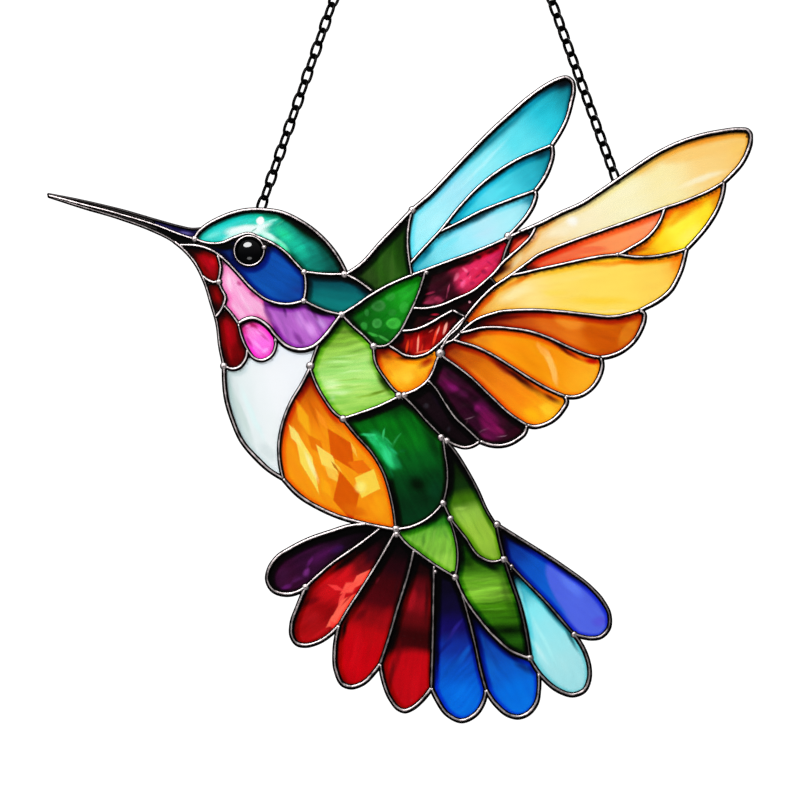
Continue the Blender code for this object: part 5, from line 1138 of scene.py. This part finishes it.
pane("covert", (187.4, 70.1), (190.8, 28.1),
    "#123c00 #3e7810 #68a824 #7cb832 #408208 #327008 #082a00 #1e5408 #0e3402", [
    (184, 56.1, 9.3, 1.4, 4, "#88c43c", 0.8, 0.6), (188.3, 50.6, 11, 0.6, 6, "#2a6404", 0.8, 0.75),
    (190, 48, 8.5, 0.6, 4, "#60a028", 0.8, 0.65), (185.7, 60.4, 7.6, 0.8, 6, "#7cba34", 0.8, 0.65),
    (192.5, 44.6, 8.5, 0.6, 4, "#2a6004", 0.8, 0.65), (178.9, 67.6, 4.2, 2.5, -40, "#0e3600", 0.9, 0.8),
    (195.5, 38.7, 6.4, 1.7, 0, "#041800", 0.8, 0.85), (183.2, 59.1, 5.1, 0.6, 4, "#5c9c18", 0.8, 0.6),
    (195.5, 55.2, 17.8, 3.4, -72, "#103804", 0.9, 0.55), (189.5, 65.5, 6.4, 2.5, -32, "#0c2804", 0.9, 0.85),
], turn=5, grain=0.45, wisp=1.2)

# The tail, from the body's side round to the rump.
pane("tail_purple", (138.1, 82.5), (95.6, 58.2),
    "#060206 #10040e #1a0618 #2c0828 #30082c #38082c #30082a", [
    (116.9, 71.4, 10.2, 3.4, 32, "#440c44", 0.8, 0.95), (111.3, 68.4, 3.8, 1.3, 60, "#5c1862", 0.8, 0.85),
    (110.1, 63.8, 2.5, 1.7, 80, "#74287a", 0.8, 0.9), (106.7, 60.4, 4.2, 1.3, 25, "#561a58", 0.8, 0.85),
    (102, 57.4, 3.8, 1.7, 20, "#64186a", 0.8, 0.9), (123.2, 73.5, 3.8, 2.1, 20, "#380e4c", 0.8, 0.8),
    (100.7, 62.5, 5.1, 4.2, 50, "#40103a", 0.9, 0.7),
], turn=30, grain=0.35, wisp=2, edge=0.7)
pane("tail_scarlet", (142.4, 78.2), (107.5, 36.5),
    "#080204 #22020a #6c0810 #cc0f18 #bc0c14 #94040a #a80c12 #ae0810", [
    (124.5, 62.9, 9.3, 3, 32, "#da121c", 0.8, 0.85), (118.6, 54.4, 8.5, 4.2, 36, "#d41019", 0.8, 0.7),
    (111.8, 51, 6, 2.1, 20, "#74020a", 0.8, 0.9), (120.3, 46.8, 6, 1.7, 55, "#8c0408", 0.8, 0.7),
    (113, 44.2, 4.2, 2.5, 30, "#a81018", 0.8, 0.7), (108.8, 39.1, 4.2, 3.4, 50, "#a4080c", 0.8, 0.7),
    (133, 60.4, 7.2, 2.5, 44, "#ff6450", -0.25, 1), (128.3, 56.9, 5.5, 3, 35, "#ff5a4c", -0.4, 0.95),
    (122.8, 56.9, 5.1, 1.4, -22, "#f83c3c", -0.5, 0.95), (125.4, 52.7, 5.1, 1.3, 62, "#fa4a44", -0.5, 0.9),
    (127.1, 49.3, 11, 3.4, 43, "#ff6450", -0.2, 1), (122.4, 43.4, 6, 2.5, 40, "#ff6450", -0.3, 1),
    (121.5, 41.2, 3.4, 1.7, -60, "#f84840", -0.5, 0.9), (127.9, 52.3, 6.8, 0.6, 46, "#b81018", -0.6, 0.8),
    (116, 37.8, 6.8, 1.3, 35, "#c41018", 0.8, 0.7), (138.1, 71, 6.8, 2.1, 58, "#300410", 0.8, 0.85),
    (126.6, 67.1, 11.9, 2.5, 36, "#2a0204", 0.8, 0.95), (124.5, 63.3, 6.8, 1.7, 38, "#8a0208", 0.9, 0.6),
], turn=40, grain=0.2, wisp=0.5)
pane("tail_crimson", (147.9, 73.1), (127.9, 15.7),
    "#080204 #24020a #400208 #4c020a #90060e #bc040e #c4000e #c8000e #b8000c", [
    (131.8, 30.6, 12.8, 3.4, 84, "#cc0614", 0.8, 0.8), (144.1, 44.2, 6.8, 3.4, 72, "#a80612", 0.8, 0.6),
    (139.8, 60.4, 2.1, 1.1, 60, "#701424", 0.8, 0.7), (126.6, 39.9, 7.6, 1.7, 72, "#260204", 0.9, 0.9),
    (133.9, 45.9, 5.1, 2.1, 50, "#5a0208", 0.8, 0.7), (137.7, 34, 11.9, 1.3, 76, "#b0060e", 0.7, 0.5),
    (148.8, 56.1, 8.5, 1.3, 78, "#30040a", 0.8, 0.6), (144.9, 28.5, 6.8, 1.3, 68, "#8c060c", 0.8, 0.6),
], turn=76, grain=0.15, wisp=1.6)
pane("tail_ruby", (157.7, 70.5), (152.6, 30.6), "#060202 #1c0204 #600610 #8a0a16 #60060c #340204 #400206", [
    (155.1, 10.6, 29.8, 22.1, 0, "#bc0411", 0.22, 1), (149.2, 28.5, 8.5, 1.7, 84, "#6c0308", 0.9, 0.6),
    (156, 14.4, 10.2, 3.4, 86, "#cc0816", 0.8, 0.7), (146.6, 21.2, 10.2, 2.1, 82, "#5c0306", 0.9, 0.85),
    (155.1, 51.9, 6.8, 2.5, 76, "#a40e1c", 0.8, 0.8), (161.5, 51.9, 14.4, 1.3, 88, "#2c0204", 0.9, 0.8),
    (162.8, 22.9, 9.3, 1.3, 88, "#8a060c", 0.9, 0.8),
], turn=84, grain=0.15, wisp=1)
pane("tail_navy", (170.4, 66.7), (173.8, 4.2),
    "#03020a #08041a #0c062c #120a5c #10309c #0650c0 #0264d8 #026cdf", [
    (173.4, 39.1, 7.6, 1.3, 52, "#2c2494", 0.8, 0.75), (170, 32.3, 7.6, 1.3, 48, "#0c1a80", 0.8, 0.75),
    (177.2, 28.5, 6.8, 1.7, 52, "#0c60d0", 0.7, 0.7), (167, 37.4, 6, 1.3, 60, "#1c1474", 0.8, 0.6),
    (165.8, 28.5, 12.8, 1.3, 88, "#040c50", 0.9, 0.8), (176.4, 11.9, 7.6, 6, 0, "#0472e6", 0.8, 0.6),
    (172.1, 22.9, 6.8, 1.7, 48, "#0850b8", 0.8, 0.5),
], turn=50, grain=0.2, wisp=1.2)
pane("tail_blue", (181.5, 45), (201, 4.2), "#080c40 #0a2c88 #0c48ac #085cc8 #046cdc #0472e2", [
    (193.8, 32.7, 15.3, 3, -46, "#030c34", 0.9, 0.95), (202.7, 22.9, 6.8, 2.1, -32, "#062470", 0.9, 0.85),
    (188.3, 22.9, 8.5, 3.4, -66, "#0c66ce", 0.8, 0.6), (198.9, 13.6, 7.6, 6.8, 0, "#0070e0", 0.8, 0.6),
    (184.9, 34.9, 6.8, 1.7, -66, "#0c4aa8", 0.8, 0.6),
], turn=-60, grain=0.15, wisp=1.4)
# The dark start of the ramp and the first two strokes are painted shade below and along the upper seams.
pane("tail_cyan", (198.5, 63.8), (224.8, 15.3), "#0c2c40 #4cbccc #8ae8f0 #96e6ee #9ee4ea #a2e0e6 #a0dee4", [
    (214.6, 47.6, 17, 2.8, -52, "#105c70", 0.9, 0.9), (222.7, 34.9, 9.3, 1.3, -62, "#3a8088", 0.9, 0.85),
    (211.7, 34, 17, 1.3, -62, "#b0f0f2", 0.8, 0.6), (219.3, 24.6, 6.8, 7.6, 0, "#a8e2e6", 0.8, 0.5),
    (206.1, 56.9, 8.5, 1.7, -50, "#1c6478", 0.9, 0.9), (201.9, 50.6, 12.8, 1.9, -75, "#c0f4f6", 0.8, 0.85),
    (208.2, 31.4, 12.8, 1.7, -55, "#c4f2f4", 0.9, 0.6),
], turn=-62, grain=0.06, wisp=1.2)
pane("tail_indigo", (193.4, 77.3), (235.9, 40.8),
    "#061450 #0a3698 #0c54c2 #0c5ed0 #1c5ed2 #5064e0 #5060dc", [
    (229.1, 51, 25.5, 10.2, -50, "#5066e2", 0.14, 0.97), (223.1, 57.4, 9.3, 3, -42, "#5e7ef2", 0.8, 0.8),
    (235, 42.5, 4.7, 3.4, 0, "#544ed8", 0.8, 0.7), (205.3, 63.3, 10.2, 3.4, -40, "#0a52c4", 0.8, 0.5),
    # The long dark stroke at 218, 65.9 is painted shade below the upper seam.
    (199.3, 77.3, 10.2, 2.5, -32, "#03052a", 0.9, 0.95), (218, 65.9, 20.4, 2.1, -37, "#081858", 0.9, 0.85),
    (234.2, 53.5, 6.8, 1.3, -55, "#3c48b0", 0.8, 0.6),
], turn=-42, grain=0.1, wisp=0.8)

# ------------------------------------------------------------------------------------------------------
# The eye: a polished cabochon of black glass, domed in front and flat behind. It is held in its own ring
# of foil and solder, as the panes are in theirs.
# ------------------------------------------------------------------------------------------------------

EYE_TUCK = 0.15                     # how far its edge reaches in under its ring
EYE_DOME = 2.18                     # its height over the middle of the sheet
EYE_RINGS = 14                      # of the dome
EYE_SIDES = 64
EYE_POLE = 0.05                     # the radius of the ring that closes the dome
EYE_BACK = 1.3                      # where the flat back lies
EYE_BEVEL = 0.3                     # the height of the bevel round the back
EYE_FLAT = 0.94                     # and the back's radius, as a share of the eye's
HAZE_PER_MM = 0.5                   # of its polish

# A quarter of an ellipse from the pole to the edge, and then the bevel, turned about the eye's axis.
swing = np.pi / 2 * np.linspace(0, 1, EYE_RINGS)
reach = (EYE_RADIUS - EYE_SEAM / 2 + EYE_TUCK) * np.sin(swing)
reach = np.maximum(np.concatenate([reach, reach[-1:], reach[-1:] * EYE_FLAT]), EYE_POLE)[:, None]
depth = np.concatenate([-EYE_DOME * np.cos(swing), [EYE_BACK - EYE_BEVEL], [EYE_BACK]])[:, None]
x, z = (place + reach * turned for place, turned in zip(EYE_CENTRE, circle(EYE_SIDES).T))

jet, tree, shader = new_material("polished_jet_glass")
place = add(tree, "ShaderNodeTexCoord").outputs["Object"]
haze = add(tree, "ShaderNodeTexNoise", {"Vector": place},
           {"Scale": HAZE_PER_MM / MM, "Detail": 2.0}).outputs[0]
tone = add(tree, "ShaderNodeMix", {"Factor": haze}, {"A": linear("#010102"), "B": linear("#07070a")},
           data_type="RGBA")
tree.links.new(tone.outputs["Result"], shader.inputs["Base Color"])
gloss = add(tree, "ShaderNodeMapRange", {"Value": haze}, {"To Min": 0.02, "To Max": 0.07})
tree.links.new(gloss.outputs[0], shader.inputs["Roughness"])
shader.inputs["IOR"].default_value = 1.6

eye = new_piece("eye_cabochon", in_frame(x, z, depth), tube_faces(len(reach), EYE_SIDES, False), jet)
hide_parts("eye_bead")
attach(eye, "root")

# ------------------------------------------------------------------------------------------------------
# The ring: mild steel wire, bent round with its ends butted at the bottom and chemically blackened. A
# hook carries it, and both strands of chain hang on it.
# ------------------------------------------------------------------------------------------------------

RING_CENTRE = (167.4, 437.8)
RING_RADIUS = 7.2                   # to the middle of its wire
RING_WIRE = 1.6
RING_STEPS = 96
RING_SIDES = 12
BUTT_WIRE = 0.72                    # how thick the wire is left where its ends meet, as a share
MARKS_PER_MM = 1.4                  # that drawing left on the wire


def black_wire(name, base, worn):
    """Mild steel wire under a chemical black: satin, with drawing marks and lighter where it rubs."""
    made, tree, shader = new_material(name)
    place = add(tree, "ShaderNodeTexCoord").outputs["Object"]
    rub = add(tree, "ShaderNodeAttribute", attribute_name="rub").outputs["Fac"]
    marks = add(tree, "ShaderNodeTexNoise", {"Vector": place},
                {"Scale": MARKS_PER_MM / MM, "Detail": 3.0}).outputs[0]
    wear = add(tree, "ShaderNodeMath", {0: marks, 1: rub}, operation="MULTIPLY").outputs[0]
    tone = add(tree, "ShaderNodeMix", {"Factor": wear}, {"A": linear(base), "B": linear(worn)},
               data_type="RGBA")
    tree.links.new(tone.outputs["Result"], shader.inputs["Base Color"])
    gloss = add(tree, "ShaderNodeMapRange", {"Value": marks}, {"To Min": 0.25, "To Max": 0.5})
    tree.links.new(gloss.outputs[0], shader.inputs["Roughness"])
    relief = add(tree, "ShaderNodeBump", {"Height": marks}, {"Strength": 0.2, "Distance": 0.1 * MM})
    tree.links.new(relief.outputs[0], shader.inputs["Normal"])
    shader.inputs["Metallic"].default_value = 0.85
    return made


def wire_loop(path, radius, sides):
    """A round wire along a closed path in one plane: rings of points at the mitre of each bend.

    The radius is one number for each of the path's points. The last axis holds x, z and y.
    """
    across = across_run(path, True)
    radius = radius[:, None]
    side, y = (radius * turned for turned in circle(sides).T)
    x, z = (path[:, i, None] + across[:, i, None] * side for i in (0, 1))
    return np.stack([x, z, y], axis=-1)


round_ring = circle(RING_STEPS, -np.pi / 2)
ring_wire = np.full(RING_STEPS, RING_WIRE / 2)
ring_wire[0] *= BUTT_WIRE
loop = wire_loop(np.array(RING_CENTRE) + RING_RADIUS * round_ring, ring_wire, RING_SIDES)
ring = new_piece(
    "hanging_ring_wire",
    in_frame(*np.moveaxis(loop, -1, 0)),
    tube_faces(RING_STEPS, RING_SIDES, True),
    black_wire("blackened_ring_wire", "#1d1b1c", "#8f8884"),
    rub=np.repeat(np.clip(-round_ring[:, 1], 0, 1), RING_SIDES),
)
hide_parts("hanging_ring")
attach(ring, "root")

# ------------------------------------------------------------------------------------------------------
# The chain: two strands of oval links in blackened steel wire, each link a quarter turn from the next.
# The lowest link of each is soldered to the back of the panel's edge, behind the crown and the wing.
# ------------------------------------------------------------------------------------------------------

LINK_PITCH = 5.8                    # about, from one link to the next
LINK_WIDTH = 5.6
LINK_WIRE = 1.35
LINK_STEPS = 28
LINK_SIDES = 8
LINK_SQUARE = 0.8                   # how far an ellipse is squared into a link: 1 is not at all
STRAND_BEHIND = 4.5                 # how far behind the middle of the sheet a strand's foot lies
TOP_LINK = 9.3                      # from the ring's centre to the middle of the topmost link
JOINT_RADIUS = 1.1                  # of the drop of solder that holds the lowest link
JOINT_FLAT = 0.8
JOINT_BEHIND = 2.9

# Each strand: the middle of its lowest link, that link's turn in degrees, and its solder joint.
STRANDS = {
    "chain_left": ((91.1, 220.5), 39.0, (91.6, 217.4)),
    "chain_right": ((241.7, 232.7), -51.0, (240.9, 229.6)),
}


def link_loop(pitch):
    """One link's wire, just long enough to hold its neighbours: an oval between an ellipse and a box.

    Its half axes are multiplied by the cosine and the sine of the turn, each to the power LINK_SQUARE.
    """
    reach = circle(LINK_STEPS)
    reach = np.sign(reach) * np.abs(reach) ** LINK_SQUARE
    path = reach * [(LINK_WIDTH - LINK_WIRE) / 2, (pitch + LINK_WIRE) / 2]
    return wire_loop(path, np.full(LINK_STEPS, LINK_WIRE / 2), LINK_SIDES)


chain_wire = black_wire("blackened_chain_wire", "#050404", "#1c1a1a")
for name, ((foot_x, foot_z), first_turn, joint_place) in STRANDS.items():
    foot = np.array([foot_x, STRAND_BEHIND, foot_z])
    rise = np.array([RING_CENTRE[0], 0, RING_CENTRE[1]]) - foot
    span = np.linalg.norm(rise) - TOP_LINK
    rise /= np.linalg.norm(rise)
    spaces = round(span / LINK_PITCH)
    loop = link_loop(span / spaces)[..., [0, 2, 1]]

    # Each link is spun about the strand, which is tilted from upright to its own line.
    links = np.arange(spaces + 1)
    angle = np.radians(first_turn + 90 * links)
    tilt = np.array(Vector((0, 0, 1)).rotation_difference(Vector(rise)).to_matrix())
    spin = np.zeros((len(links), 3, 3))
    spin[:, 0, 0] = spin[:, 1, 1] = np.cos(angle)
    spin[:, 1, 0] = np.sin(angle)
    spin[:, 0, 1] = -spin[:, 1, 0]
    spin[:, 2, 2] = 1
    middles = foot + (links / spaces)[:, None] * rise * span
    wires = np.einsum("ij,njk,rsk->nrsi", tilt, spin, loop) + middles[:, None, None]

    quads = tube_faces(LINK_STEPS, LINK_SIDES, True)[0]
    faces = [(quads + (links * LINK_STEPS * LINK_SIDES)[:, None, None]).reshape(-1, 4)]
    rub = (np.abs(loop[..., 2]) / np.abs(loop[..., 2]).max()) ** 2
    points = in_frame(wires[..., 0], wires[..., 2], wires[..., 1])
    strand = new_piece(f"{name}_links", points, faces, chain_wire, rub=np.tile(rub.ravel(), len(links)))
    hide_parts(name)
    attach(strand, "root")

    points, faces, crest = drop(*joint_place, JOINT_RADIUS, JOINT_FLAT, JOINT_BEHIND)
    joint = new_piece(f"{name}_solder_joint", points, faces, patinated, crest=crest, worn=crest)
    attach(joint, "root")
